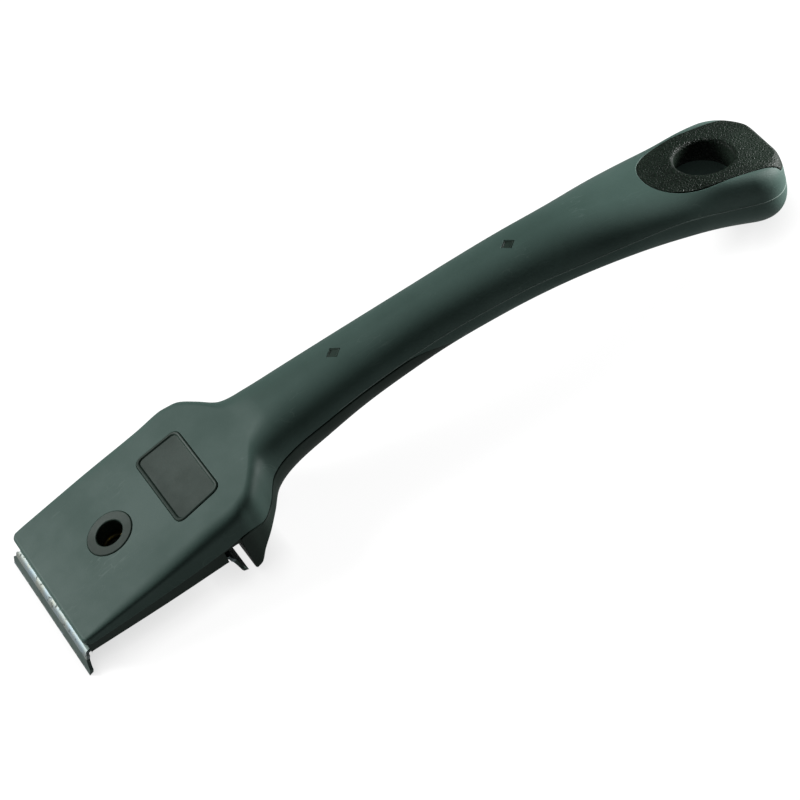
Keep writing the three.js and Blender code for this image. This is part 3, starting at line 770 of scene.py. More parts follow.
def laid_on(u, y, middle=np.zeros(3), along=level_along, under=False):
    """x and w of the surface point whose place along the drawing's axis is u and across is y."""
    x = middle[0] + u * along[0]
    for _ in range(25):
        w = w_at_width(x, y, under)
        x = np.clip(x + 0.9 * (u - (body_point(x, w) - middle) @ along), head_setback, tool_length - 0.01)
    return x, w_at_width(x, y, under)


def pad_outline(grow):
    """x and w of the pad's outline: tip, straight side, over the corner, then down to the end's middle."""
    tip, half = -pad_tip - grow, pad_half + grow
    t = np.linspace(0, 1, 60)
    u = (1 - t) ** 3 * tip + 3 * t * (1 - t) ** 2 * tip + 3 * t * t * (1 - t) * tip * bulge_share
    v = 3 * t * (1 - t) ** 2 * half * tip_share + (3 * t * t * (1 - t) + t ** 3) * half
    straight = np.linspace(0.5, 15.0, 30)
    slant = (pad_end_half - pad_half) / (tool_length - hang_at)
    x, w = laid_on(np.append(u, straight), np.append(v, half + slant * straight), pad_middle, pad_along)
    q = np.linspace(w[-1], pad_turn - grow / 30, 40)[1:]

    def narrower(at):
        """Whether the surface there is inside the pad's slanted side."""
        point = body_point(at, np.maximum(q, 0))
        return point[..., 1] <= half + slant * ((point - pad_middle) @ pad_along)

    turned_x = halved(narrower, np.full_like(q, x[-1]), np.full_like(q, tool_length - 0.01))
    side_x = np.concatenate([x, turned_x])
    end_x = tool_length - (tool_length - side_x[-1]) * (1 - np.linspace(0, 1, 30)[1:]) ** 2
    left = closing(end_x, end_rounding, end_power) / closing(side_x[-1], end_rounding, end_power)
    x = np.concatenate([side_x, end_x])
    w = np.concatenate([w, q, q[-1] * left ** 0.6])
    return np.concatenate([x, x[:0:-1]]), np.concatenate([w, 2 - w[:0:-1]])


pad_x = pad_outline(0.0)[0]
print("pad outline:", len(pad_x), "points, from x", round(float(pad_x.min()), 1))

# %% [markdown]
# Inside a block of rows and columns round a window, the grid's points and the outline's points are joined
# by Delaunay triangles, which keep to the outline; outside it the grid stays as it is. Points inside the
# window or too close to its outline are left out. The triangles are laid in row and column numbers, and
# their corners are points of the surface itself, so the surface keeps its shape and its shading.

# %% Triangles that keep to an outline
def chart_of(x, w, rows, columns):
    """Row and column numbers of a surface point, by straight lines between the grid's own values."""
    i = np.interp(x, rows, np.arange(len(rows)))
    low = np.minimum(i.astype(int), len(rows) - 2)
    part = (i - low)[:, None]
    line = columns[low] * (1 - part) + columns[low + 1] * part
    j = np.clip((line < w[:, None]).sum(1), 1, columns.shape[1] - 1)
    k = np.arange(len(x))
    return np.stack([i, j - 1 + (w - line[k, j - 1]) / (line[k, j] - line[k, j - 1])], -1)


def numbered(shape):
    """The row and column numbers of a grid's own points."""
    return np.moveaxis(np.indices(shape), 0, -1).astype(float)


def inside(points, loop):
    """Even-odd rule: a point is inside if a line from it crosses the loop an odd number of times."""
    a, b = loop, np.roll(loop, -1, axis=0)
    crosses = (a[:, 1] > points[:, 1:]) != (b[:, 1] > points[:, 1:])
    rise = np.where(b[:, 1] == a[:, 1], 1, b[:, 1] - a[:, 1])
    at = a[:, 0] + (points[:, 1:] - a[:, 1]) * (b[:, 0] - a[:, 0]) / rise
    return (crosses & (points[:, :1] < at)).sum(1) % 2 == 1


def allowed(points, loops, within):
    """Outside all loops, or inside the first one and outside the rest."""
    keep = inside(points, loops[0]) == within
    for loop in loops[1:]:
        keep &= ~inside(points, loop)
    return keep


def fit_triangles(chart, index, loops, loop_ids, near, within=False, open_end=False):
    """Triangles over a block's chart that keep to the loops, outside them or within the first one."""
    points, border = chart.reshape(-1, 2), np.zeros(index.shape, bool)
    if not within:
        border[0], border[:, 0], border[:, -1] = True, True, True
        border[-1] = not open_end
    distance = np.linalg.norm(points[:, None] - np.vstack(loops)[None], axis=-1).min(1)
    keep = (allowed(points, loops, within) & (distance >= near)) | border.ravel()
    ids = np.concatenate([index.ravel()[keep]] + loop_ids)
    number = np.full(len(points), -1)
    number[keep] = np.arange(keep.sum())
    number = number.reshape(index.shape)
    edges, start = [], int(keep.sum())
    sides = [number[0], number[:, 0], number[:, -1], number[-1]]
    for line in sides[:0 if within else 3 if open_end else 4]:
        edges += np.stack([line[:-1], line[1:]], -1).tolist()
    for loop in loops:
        count = np.arange(len(loop))
        edges += (start + np.stack([count, np.roll(count, -1)], -1)).tolist()
        start += len(loop)
    everything = np.vstack([points[keep]] + loops)
    found, _, faces, origin_ids, _, _ = delaunay_2d_cdt(everything.tolist(), edges, [], 0, 1e-7)
    source = np.array([o[0] if o else -1 for o in origin_ids])
    places, faces = np.array([tuple(v) for v in found]), np.array(faces)
    faces = faces[(source[faces] >= 0).all(1)]
    return ids[source[faces[allowed(places[faces].mean(1), loops, within)]]]


square = np.array([[0.0, 0], [4, 0], [4, 4], [0, 4]])
print("inside a square:", inside(np.array([[2.0, 2.0], [5.0, 2.0]]), square).tolist())

# %% [markdown]
# Where two moulded parts meet, each edge is slightly round. A Bevel modifier could round them, but its
# width would change with the mesh. Here a rim rolls over a small quarter circle and then goes straight
# down. The same roll finishes the windows and the parting line, so pieces meet in a fine soft groove.

# %% Rims
def roll_direction(points, normals, towards, closed=True):
    """Across the outline and along the surface, on the side of a given direction or middle point."""
    if closed:
        tangent = np.roll(points, -1, 0) - np.roll(points, 1, 0)
    else:
        tangent = np.gradient(points, axis=0)
    across = unit(np.cross(normals, tangent))
    return across * np.sign((across * towards).sum())


def roll_over(points, normals, across, width, drop, deep, closed=True, steps=6):
    """Quarter ellipse: forward by width times the sine, down by drop times one minus the cosine."""
    angle = np.linspace(0, np.pi / 2, steps)[:, None, None]
    line = points + across * width * np.sin(angle) - normals * drop * (1 - np.cos(angle))
    facing = unit(normals * np.cos(angle) * width + across * np.sin(angle) * drop)
    line = np.concatenate([line, line[-1:] - normals * deep])
    return as_sheet(line, np.concatenate([facing, facing[-1:]]), closed)


# %% [markdown]
# Bosses, the plate's edge, the screw's head and the insert are all a profile that is carried round a closed
# outline. A curve with a bevel object could do that, but not on a seat that is curved itself. Each corner
# of a profile becomes a small arc, since no real edge is quite sharp.

# %% Profiles carried round an outline
def rounded_profile(corners, radii, steps=5, closed=False):
    """A profile with each corner swept as an arc; returns points and normals to the right of travel."""
    corners, radii = np.asarray(corners, float), np.asarray(radii, float)
    before = unit(corners - np.roll(corners, 1, 0))
    after = np.roll(before, -1, 0)
    turn_by = np.arctan2(before[:, 0] * after[:, 1] - before[:, 1] * after[:, 0], (before * after).sum(1))
    start = corners - before * (radii * np.tan(np.abs(turn_by) / 2))[:, None]
    s = np.linspace(0, 1, steps)[None, :]
    bend = np.abs(turn_by)[:, None] * s
    left = np.stack([-before[:, 1], before[:, 0]], -1) * np.sign(turn_by)[:, None]
    points = (start[:, None] + before[:, None] * (np.sin(bend) * radii[:, None])[..., None]
              + left[:, None] * ((1 - np.cos(bend)) * radii[:, None])[..., None])
    facing = np.arctan2(-before[:, 0], before[:, 1])[:, None] + turn_by[:, None] * s
    normals = np.stack([np.cos(facing), np.sin(facing)], -1)
    if closed:
        return points.reshape(-1, 2), normals.reshape(-1, 2)
    ends = [[after[0, 1], -after[0, 0]]], [[before[-1, 1], -before[-1, 0]]]
    return (np.vstack([corners[:1], points[1:-1].reshape(-1, 2), corners[-1:]]),
            np.vstack([ends[0], normals[1:-1].reshape(-1, 2), ends[1]]))


def outline_facing(line):
    """Outward normal of a closed outline in its own drawing."""
    tangent = np.roll(line, -1, 0) - np.roll(line, 1, 0)
    facing = unit(np.stack([tangent[:, 1], -tangent[:, 0]], -1))
    return facing * np.sign((facing * (line - line.mean(0))).sum())


def flat_direction(facing, n):
    """A drawing direction as a direction along the seat: its x part follows the seat's slope."""
    slope = unit(np.stack([n[:, 2], 0 * n[:, 0], -n[:, 0]], -1))
    return slope * facing[:, :1] + across_axis * facing[:, 1:]


def carried(outline, profile, seat):
    """A profile of growth and height carried round an outline, on a seat that gives points and normals."""
    points, normals = profile
    loops = [outline(g) for g in points[:, 0]]
    bases = [seat(loop) for loop in loops]
    place = np.stack([base + n * z for (base, n), z in zip(bases, points[:, 1])])
    facing = np.stack([n * nz + flat_direction(outline_facing(loop), n) * ng
                       for (_, n), loop, (ng, nz) in zip(bases, loops, normals)])
    return as_sheet(place, unit(facing), closed=True)


def floored_boss(outline, at, seat, corners, radii, steps=5):
    """A carried profile, and its last outline shrunk towards the middle in equal steps as a floor."""
    grow, height = corners[-1]
    middle, k = np.array([at, 0.0]), np.linspace(1, 0, steps)[:, None, None]
    bases = [seat(loop) for loop in middle + (outline(grow) - middle) * k]
    place, facing = np.stack([base + n * height for base, n in bases]), np.stack([n for _, n in bases])
    return [carried(outline, rounded_profile(corners, radii, steps), seat), as_sheet(place, facing, True, -1)]


def on_head(line):
    """Seat on the head's flat top."""
    slope = np.radians(head_slope)
    base = np.stack([line[:, 0], line[:, 1], top_of_head(line[:, 0])], -1)
    return base, np.broadcast_to([-np.sin(slope), 0, np.cos(slope)], base.shape)


def on_handle(line):
    """Seat on the curved surface, below each point of the drawing."""
    return on_body(*laid_on(line[:, 0], line[:, 1]))


print("points of a square corner:", len(rounded_profile([(0, 0), (2, 0), (2, 2)], [1, 1, 1])[0]))

# %% [markdown]
# With outlines, triangles and rims ready, the grip's sheet is made in one go. A window's outline is a
# little larger than the boss that comes through it, which leaves the fine dark gap of the real tool.

# %% Where the windows are cut
def window(x, w):
    """One window: its outline's surface coordinates, points and normals."""
    return {"x": x, "w": w, "points": body_point(x, w), "normals": body_normal(x, w)}


def flat_window(line, *drawing, under=False):
    """A window whose outline is given flat."""
    return window(*laid_on(line[:, 0], line[:, 1], *drawing, under=under))


windows = {
    "ring": flat_window(ring_outline(ring_window)),
    "badge": flat_window(badge_outline(0.2)),
    "front diamond": flat_window(diamond_outline(front_diamond_at, 0.2)),
    "rear diamond": flat_window(diamond_outline(rear_diamond_at, 0.2)),
    "pad": window(*pad_outline(rim)),
    "hole": flat_window(hole_outline(1.2), pad_middle, pad_along, under=True),
}
print("windows:", {k: len(v["x"]) for k, v in windows.items()})

# %% The grip's sheet with its windows
def end_grid(rows, w):
    """Points, normals and numbers of a grid whose last row is one point at the handle's end."""
    points, normals = on_body(np.broadcast_to(rows[:, None], w.shape), w)
    points[-1], normals[-1] = points[-1].mean(0), [1, 0, 0.05]
    index = np.arange(w.size).reshape(w.shape)
    index[-1] = index[-1, 0]
    return points, normals, index


def grip_sheet():
    """Grid points, then window points; quads outside the blocks and fitted triangles inside them."""
    points, normals, index = end_grid(grip_rows, grip_w)
    closed = grip_rows >= skin_tip - 1e-9
    index[closed, -1] = index[closed, 0]
    all_points, all_normals = [points.reshape(-1, 3)], [normals.reshape(-1, 3)]
    free = np.ones((index.shape[0] - 1, index.shape[1] - 1), bool)
    faces, start = [], index.size
    for name, cut in windows.items():
        ids = start + np.arange(len(cut["x"]))
        start += len(ids)
        all_points.append(cut["points"])
        all_normals.append(cut["normals"])
        at_end, w = name == "pad", cut["w"]
        first = np.searchsorted(grip_rows, cut["x"].min()) - 4
        last = len(grip_rows) if at_end else np.searchsorted(grip_rows, cut["x"].max()) + 4
        span, block = grip_w[first:last], index[first:last]
        if name == "hole":
            w = np.where(w > 1, w - 4, w)
            reach = int((span < w.max() + 0.08).sum(1).max()) + 2
            span = np.concatenate([span[:, -reach:-1] - 4, span[:, :reach]], axis=1)
            block = np.concatenate([block[:, -reach:-1], block[:, :reach]], axis=1)
            free[first:last - 1, :reach - 1] = False
            free[first:last - 1, 1 - reach:] = False
        else:
            left = max(int((span < w.min()).sum(1).min()) - 4, 0)
            right = min(int((span < w.max()).sum(1).max()) + 4, index.shape[1])
            span, block = span[:, left:right], block[:, left:right]
            free[first:last - 1, left:right - 1] = False
        chart = chart_of(cut["x"], w, grip_rows[first:last], span)
        faces.append(fit_triangles(numbered(block.shape), block, [chart], [ids], 0.4, open_end=at_end))
        print("window", name, "block", block.shape, "triangles", len(faces[-1]))
    return np.vstack(all_points), np.vstack(all_normals), [quads(index)[free.ravel()]] + faces


sheet = grip_sheet()
print("grip sheet:", len(sheet[0]), "points")

# %% [markdown]
# The grip is the sheet plus its edges: the front face under the head's front edge, the rim that rolls in
# along the parting line, the rolled rims of the windows, and the lining of the hanging hole. Where the two
# halves of its mould met, a fine ridge runs along both sides of the handle and round the end. Bump could
# suggest that ridge, but it catches the light in the photograph, so it is real geometry.

# %% The grip's front
ahead = -level_along


def front_facing(y):
    """Normal of the front face: straight ahead, and round the front corners in plan."""
    past = past_corner(y) / head_corner
    return np.stack([-np.sqrt(1 - past ** 2), past * np.sign(y), 0 * y], -1)


def front_point(y, z):
    """A point of the flat front face, pushed back at the corners."""
    return np.stack([head_setback + pushed_back(y), y, z + 0 * y], -1)


def rounded_edge(x, w, radius, steps, behind, front):
    """Rows over the body's end at x: forward by the radius times the cosine, in by what the sine leaves."""
    angle = np.linspace(np.pi / 2, 0, steps)[:, None]
    edge = body_point(x + radius * (1 - np.cos(angle)), w[None], radius * (1 - np.sin(angle)))
    body = body_normal(np.full_like(w, behind), w)
    return edge, unit(body * np.sin(angle)[..., None] + front(edge[-1, :, 1]) * np.cos(angle)[..., None])


def grip_front():
    """Rounded edge rows from the top to the front face, and the face down to the parting line."""
    behind = grip_rows[0] + 0.05
    edge, edge_facing = rounded_edge(head_setback, grip_w[0], head_edge_radius, 8, behind, front_facing)
    top = edge[-1]
    share = np.linspace(1, -1, len(top))
    low = front_point(np.abs(top[0, 1]) * share, np.full_like(share, skin_edge_height + skin_lift))
    k = np.linspace(0, 1, 5)[:, None]
    y = top[:, 1] * (1 - k) + low[:, 1] * k
    face, facing = front_point(y, top[:, 2] * (1 - k) + low[:, 2] * k), front_facing(y)
    side = np.concatenate([edge[:, 0], face[-1], edge[::-1, -1]])
    side_facing = np.concatenate([edge_facing[:, 0], facing[-1], edge_facing[::-1, -1]])
    return [as_sheet(edge, edge_facing), as_sheet(face, facing)], side, side_facing


front_parts, front_line, front_normals = grip_front()
print("front edge:", len(front_line), "points")

# %% Rims and linings
hole_depth = 8.0


def parting_rim():
    """The grip's edge: near side, front and far side in turn, rolled in along the parting line."""
    open_rows = grip_rows <= skin_tip + 1e-9
    near, near_facing = on_body(grip_rows[open_rows], grip_w[open_rows, 0])
    far, far_facing = on_body(grip_rows[open_rows], grip_w[open_rows, -1])
    points = np.concatenate([near[::-1], front_line, far])
    normals = np.concatenate([near_facing[::-1], front_normals, far_facing])
    keep = np.append(True, np.linalg.norm(np.diff(points, axis=0), axis=1) > 1e-3)
    points, normals = points[keep], normals[keep]
    across = roll_direction(points, normals, np.array([-0.3, 0, -1]), closed=False)
    return roll_over(points, normals, across, rim, rim, 1.3, closed=False)


def window_rim(name, width, deep):
    """A window's rim: rolled towards the window's middle and carried down."""
    points, normals = windows[name]["points"], windows[name]["normals"]
    across = roll_direction(points, normals, points.mean(0) - points)
    return roll_over(points, normals, across, width, width, deep)


def into_hole(cut, steps, width, drop):
    """From a window over a quarter ellipse onto the hanging hole's wall, and along the wall."""
    points, normals, oval = cut["points"], cut["normals"], hole_outline(0.0)
    wall = pad_middle + oval[:, :1] * pad_along + oval[:, 1:] * across_axis
    facing = -unit(oval[:, :1] * pad_along / hang_length ** 2 + oval[:, 1:] * across_axis / hang_width ** 2)
    height = ((points - pad_middle) @ pad_axis)[:, None]
    angle = np.linspace(0, np.pi / 2, steps)[:, None, None]
    rolled = points + (wall + height * pad_axis - points) * np.sin(angle)
    rolled = rolled - drop * pad_axis * (1 - np.cos(angle))
    straight = np.linspace(rolled[-1], wall - hole_depth * pad_axis, 6)[1:]
    turn_in = unit(normals * np.cos(angle) * width + facing * np.sin(angle) * abs(drop))
    turned = np.concatenate([turn_in, np.broadcast_to(facing, straight.shape)])
    return as_sheet(np.concatenate([rolled, straight]), turned, closed=True)


# %% The mould's seam and the grip
seam_lift, seam_half, seam_height, seam_from, seam_fade = 0.75, 0.26, 0.16, 112, 12


def mould_seam():
    """A fine rounded ridge along both sides and round the end: a half sine across, carried along."""
    x = np.concatenate([rows_between((seam_from, tool_length - end_rounding, row_step)), end_rows(60)[:-1]])
    w = w_at_height(x, curve_through(x, edge_column) + seam_lift * closing(x, end_edge, edge_power), 0.0)
    line = np.concatenate([body_point(x, w), body_point(tool_length - 0.001, np.array([0.02])),
                           body_point(x, 2 - w)[::-1]])
    facing = np.concatenate([body_normal(x, w), [level_along], body_normal(x, 2 - w)[::-1]])
    across = unit(np.cross(np.gradient(line, axis=0), facing))
    start = np.clip((line[:, 0] - seam_from) / seam_fade, 0, 1)
    share = np.linspace(-1, 1, 9)[:, None, None]
    rise = (seam_height * start)[:, None] * np.cos(share * np.pi / 2) - 0.05
    lean_out = np.sin(share * np.pi / 2) * seam_height * np.pi / 2 / seam_half
    return as_sheet(line + across * seam_half * share + facing * rise, unit(facing + across * lean_out))


seam = mould_seam()


def grip_wear_and_seam_highlight(points, normals):
    """Wear is strongest at the head's front edge and its corners; the mould's seam gets the full mask as a
    painted highlight.
    """
    near_front = np.exp(-((points[:, 0] - head_setback) / 1.6) ** 2)
    corner = np.exp(-((np.abs(points[:, 1]) - 30.2) / 1.2) ** 2) * (points[:, 0] < 70)
    worn = 0.55 * near_front + 0.25 * corner
    # Painted highlight: the whole seam takes the full mask, so the grip's rubbed colour paints it as a light
    # line.
    worn[-len(seam[0]):] = 1.0
    return worn


new_piece("grip_skin", "handle", "soft_grip", [
    sheet, *front_parts, parting_rim(), window_rim("ring", 0.15, 1.6), window_rim("badge", 0.2, 1.6),
    window_rim("front diamond", 0.2, 0.8), window_rim("rear diamond", 0.2, 0.8), window_rim("pad", rim, 1.4),
    into_hole(windows["hole"], 7, 1.2, -1.2), seam], grip_elastomer, grip_wear_and_seam_highlight)

# %% [markdown]
# The rigid moulding shows below the grip's edge. Behind the blade it is a guard that hangs down across
# the head, and from there it runs back under the neck until the grip closes round it. It could be a solid
# body inside the grip, but most of that would never be seen. Its surface is the lower half of the same
# body, so both meet along the parting line, and a ledge closes the gap between them inside.

# %% The guard and the underside of the neck
neck_edge = 0.7
neck_rows = np.concatenate([
    rows_between((guard_front + neck_edge, fine_to, fine_step), (fine_to, crowd_from, row_step)),
    crowded(crowd_from, skin_close_to - skin_lift, crowd_rows)])
neck_w = spread_columns(neck_rows, parting_w(neck_rows, -skin_lift), -1.0, 50)


def neck_sheet():
    """Rows of the lower half; the last row is one point, where both sides meet."""
    return as_sheet(*on_body(np.broadcast_to(neck_rows[:, None], neck_w.shape), neck_w), pole=-1)


def flat_cap(line, x, top):
    """A flat face that looks ahead, from a line up to a straight line across at one height."""
    share = np.linspace(1, -1, len(line))
    straight = np.stack([0 * share + x, line[0, 1] * share, 0 * share + top], -1)
    return as_sheet(line + (straight - line) * np.linspace(0, 1, 4)[:, None, None], ahead)


def guard_front_wall():
    """The rounded lower edge of the guard, and its flat wall up behind the slot."""
    edge, facing = rounded_edge(guard_front, neck_w[0], neck_edge, 7, neck_rows[0], lambda y: ahead)
    return [as_sheet(edge, facing), flat_cap(edge[-1], guard_front, edge[-1, 0, 2] + 0.5)]


def neck_rim(deep=0.8):
    """The moulding's edge along the parting line, rolled in, and a ledge that closes the gap inside."""
    near, near_facing = on_body(neck_rows, neck_w[:, 0])
    far, far_facing = on_body(neck_rows, neck_w[:, -1])
    points, normals = np.concatenate([near, far[-2::-1]]), np.concatenate([near_facing, far_facing[-2::-1]])
    across = roll_direction(points, normals, np.array([0.3, 0, 1.0]), closed=False)
    base = points + across * rim - normals * (rim + deep)
    return [roll_over(points, normals, across, rim, rim, deep, closed=False),
            as_sheet(np.stack([base, base + across]), normals)]


def lower_wear(points, normals):
    """The guard's lower edge is scuffed."""
    return 0.7 * np.exp(-((points[:, 0] - guard_front) / 0.9) ** 2) * (points[:, 2] < 4)


new_piece("neck_underside", "handle", "handle_core", [neck_sheet(), *guard_front_wall(), *neck_rim()],
          core_nylon, lower_wear)

# %% [markdown]
# In front of the guard the moulding is a rail down each side of the head, set in a little under the
# grip's edge. Its underside has a shallow seat that the blade's web lies in. Behind the rails a slot
# leaves room for the blade's rear lip. The whole of it is one section carried along x, which is simpler
# than joining boxes and keeps every edge round.

# %% The rails, the seat and the slot
rail_half, web_half, rail_top = head_front_width / 2 - rail_inset, 28.5, 14.0


def rail_rows(x, low, seat):
    """Side, foot, step and seat carried along x: the sides follow the head, the top the grip's edge."""
    right = [(rail_half, rail_top), (rail_half, low), (web_half, low), (web_half, seat)]
    corners = right + [(-y, z) for y, z in right[::-1]]
    points, normals = rounded_profile(corners, [0.1, 0.4, 0.25, 0.15, 0.15, 0.25, 0.4, 0.1])
    wider = (curve_through(x, 1) - rail_inset - rail_half)[:, None]
    y = points[:, 0] + wider * np.sign(points[:, 0]) * (np.abs(points[:, 0]) > web_half + 0.5)
    z = np.where(points[:, 1] > rail_top - 0.1, curve_through(x, edge_column)[:, None] + 0.6, points[:, 1])
    place = np.stack([np.broadcast_to(x[:, None], y.shape), y, z], -1)
    return place, np.broadcast_to(np.column_stack([0 * normals[:, 0], normals]), place.shape)


def rails(soft=0.5):
    """Front cap, rounded edge, rails, step up to the slot's roof, and the roof back to the guard."""
    front = head_setback + rail_inset
    along, facing = rail_rows(np.linspace(front + soft, slot_front, 40), rail_height, seat_height)
    roof = rail_rows(np.linspace(slot_front, guard_front + 0.8, 8), slot_height, slot_height + 0.01)
    angle = np.linspace(0, np.pi / 2, 6)[:, None, None]
    edge = along[0] - facing[0] * soft * (1 - np.sin(angle)) + ahead * soft * np.cos(angle)
    edge_facing = unit(facing[0] * np.sin(angle) + ahead * np.cos(angle))
    return [as_sheet(along, facing), as_sheet(edge, edge_facing), flat_cap(edge[0], front, along[0, 0, 2]),
            as_sheet(np.stack([along[-1], roof[0][0]]), -ahead), as_sheet(*roof)]


def rail_wear(points, normals):
    """The rails' lower edges rub on the work."""
    return 0.65 * np.exp(-((points[:, 2] - rail_height) / 0.8) ** 2)


new_piece("side_rails", "handle", "handle_core", rails(), core_nylon, rail_wear)

# %% [markdown]
# Bosses of the moulding come through the grip's windows. The ring is flat and stands a little proud, with
# the hole in which the screw's end shows. The badge pad is a bare, slightly sunken floor in a raised
# narrow frame. The two diamonds are small and sit on the handle's crown. Each profile is a list of growth
# and height: the wall, the shoulder or frame, and the step down.

# %% The ring, the badge pad and the diamonds
ring_profile = rounded_profile([(8.5, -1.8), (8.5, 0.12), (8.2, 0.32), (5.3, 0.32), (5.0, 0.1), (5.0, -6.2)],
                               [0.1, 0.1, 0.15, 0.12, 0.12, 0.1])
badge_corners = [(-0.1, -1.8), (-0.1, 0.14), (-0.5, 0.42), (-1.0, 0.36), (-1.5, -0.08), (-1.9, -0.08)]
diamond_corners = [(-0.08, -0.9), (-0.08, -0.12), (-0.42, -0.12), (-0.6, -0.32), (-0.75, -0.32)]


def shoulder_wear(points, normals):
    """Bosses are rubbed where they stand highest."""
    return 0.45 * (normals[:, 2] > 0.5) * (normals[:, 2] < 0.97)


def new_boss(name, parts):
    """A boss is a piece of the moulding."""
    new_piece(name, "handle", "handle_core", parts, core_nylon, shoulder_wear)


new_boss("screw_ring", [carried(ring_outline, ring_profile, on_head)])
new_boss("badge_pad", floored_boss(badge_outline, badge_at, on_head, badge_corners,
                                   [0.1, 0.1, 0.2, 0.2, 0.12, 0.1]))
for name, at in (("front_diamond", front_diamond_at), ("rear_diamond", rear_diamond_at)):
    new_boss(name, floored_boss(lambda grow: diamond_outline(at, grow), at, on_handle, diamond_corners,
                                [0.05, 0.08, 0.06, 0.05, 0.05], steps=4))

# %% [markdown]
# The end pad is the body's own surface inside the pad's window, so it lies flush with the grip round it.
# Round the hanging hole it sinks in a soft funnel and turns into the wall of the hole. The funnel could be
# a bevel on a cut hole, but a quarter ellipse is wider than it is deep, like the real one.

# %% The end pad
def end_pad():
    """Fitted triangles between the pad's outline and the funnel, plus its rim and the hole's wall."""
    outer, funnel = window(*pad_outline(-rim - 0.1)), flat_window(hole_outline(1.7), pad_middle, pad_along)
    first = np.searchsorted(grip_rows, outer["x"].min()) - 3
    rows, span = grip_rows[first:], grip_w[first:]
    left = max(int((span < -0.02).sum(1).min()) - 2, 0)
    right = min(int((span < 2.02).sum(1).max()) + 2, grip_w.shape[1])
    span = span[:, left:right]
    points, normals, index = end_grid(rows, span)
    charts = [chart_of(cut["x"], cut["w"], rows, span) for cut in (outer, funnel)]
    ids = np.split(span.size + np.arange(len(outer["x"]) + len(funnel["x"])), [len(outer["x"])])
    faces = fit_triangles(numbered(span.shape), index, charts, ids, 0.4, within=True, open_end=True)
    everything = np.vstack([points.reshape(-1, 3), outer["points"], funnel["points"]])
    facing = np.vstack([normals.reshape(-1, 3), outer["normals"], funnel["normals"]])
    used, faces = np.unique(faces, return_inverse=True)
    line, upright = outer["points"], outer["normals"]
    edge = roll_over(line, upright, roll_direction(line, upright, line - line.mean(0)), rim, rim, 1.0)
    return [(everything[used], facing[used], [faces.reshape(-1, 3)]), edge, into_hole(funnel, 10, 1.7, 1.3)]


new_piece("end_pad", "handle", "handle_core", end_pad(), pad_grain)

# %% [markdown]
# The blade is one strip bent at both ends. A bent plane with a Solidify modifier would be quick, but it
# couldn't thin to a cutting edge. So a flat rounded bar is carried along the strip's side view. Its width
# changes on the way: wide ears at the edges, narrow necks above them, and a narrower web that fits between
# the rails. Near an edge the bar thins to the bevel.

# %% The blade's side view, widths and section
blade_thickness, blade_height, lip_lean, bend_radius, bevel_length = 1.3, 6.9, 2.7, 1.5, 1.25
edge_half, ear_half, lip_half, strip_half, web_hole_radius, block_half = 31.75, 32.1, 29.5, 28.2, 3.8, 9.0


def blade_path():
    """Side view of the outer face: lip, bend, web, bend and lip, with normals and the thickness."""
    lip = np.arctan2(lip_lean, blade_height)
    outer = bend_radius + blade_thickness
    high = blade_height - outer
    middle = (outer + np.sin(lip) * high) / np.cos(lip)
    lip_top = np.array([middle - outer * np.cos(lip), high + outer * np.sin(lip)])
    up = np.unique(np.concatenate([np.linspace(0, 0.22, 8), np.linspace(0.22, 1, 30)]))[:, None] * lip_top
    angle = np.linspace(np.pi - lip, np.pi / 2, 14)[1:]
    round_bend = np.stack([np.cos(angle), np.sin(angle)], -1)
    half = np.vstack([up, [middle, high] + outer * round_bend])
    normals = np.vstack([np.broadcast_to([-np.cos(lip), np.sin(lip)], up.shape), round_bend])
    web = np.concatenate([np.linspace(middle, 20, 14)[1:], np.linspace(20, blade_reach - 20, 20)[1:],
                          np.linspace(blade_reach - 20, blade_reach - middle, 14)[1:-1]])
    web_points = np.stack([web, np.full_like(web, blade_height)], -1)
    thickness = blade_thickness * np.clip(np.linalg.norm(up, axis=1) / bevel_length, 0.03, 1)
    thickness = np.concatenate([thickness, np.full(len(angle), blade_thickness)])
    return (np.vstack([half, web_points, half[::-1] * [-1, 1] + [blade_reach, 0]]),
            np.vstack([normals, np.broadcast_to([0.0, 1.0], web_points.shape), normals[::-1] * [-1, 1]]),
            np.concatenate([thickness, np.full(len(web), blade_thickness), thickness[::-1]]))


def blade_half_width(x, z):
    """Edge, ear, neck, bend and web: joined by straight lines and one smooth step."""
    near = np.minimum(x, blade_reach - x)
    ear = np.interp(z, [0, 2.4], [edge_half, ear_half])
    neck = ear + (lip_half - ear) * (np.clip((z - 2.4) / 2.0, 0, 1) ** 0.6)
    web_step = np.clip((near - 2.6) / 0.5, 0, 1)
    return np.where(z > 5.9, lip_half + (strip_half - lip_half) * web_step ** 2 * (3 - 2 * web_step), neck)


def bar_section(half, thickness):
    """Closed rounded sections, four corner arcs and two flats: across, down, and normals across and up."""
    half, thickness = half[:, None], thickness[:, None]
    soft = np.minimum(0.2, thickness / 2.2)
    flat, none, parts = np.linspace(1, -1, 41)[1:-1], 0 * half, []
    for sign, side, start in ((1, 1, 0.0), (-1, 1, np.pi / 2), (-1, -1, np.pi), (1, -1, 3 * np.pi / 2)):
        a = start + np.linspace(0, np.pi / 2, 5) + none
        down = -soft if side > 0 else soft - thickness
        parts.append((sign * (half - soft) + soft * np.cos(a), down + soft * np.sin(a), np.cos(a), np.sin(a)))
        if sign == side:
            zero, down = 0 * flat + none, 0 if side > 0 else -thickness
            parts.append((side * flat * (half - soft), zero + down, zero, zero + side))
    return [np.concatenate(part, axis=1) for part in zip(*parts)]


# %% [markdown]
# The web has a round hole for the screw, cut with the same fitted triangles as the grip's windows, once
# in the upper face and once in the lower one, with a wall between them.

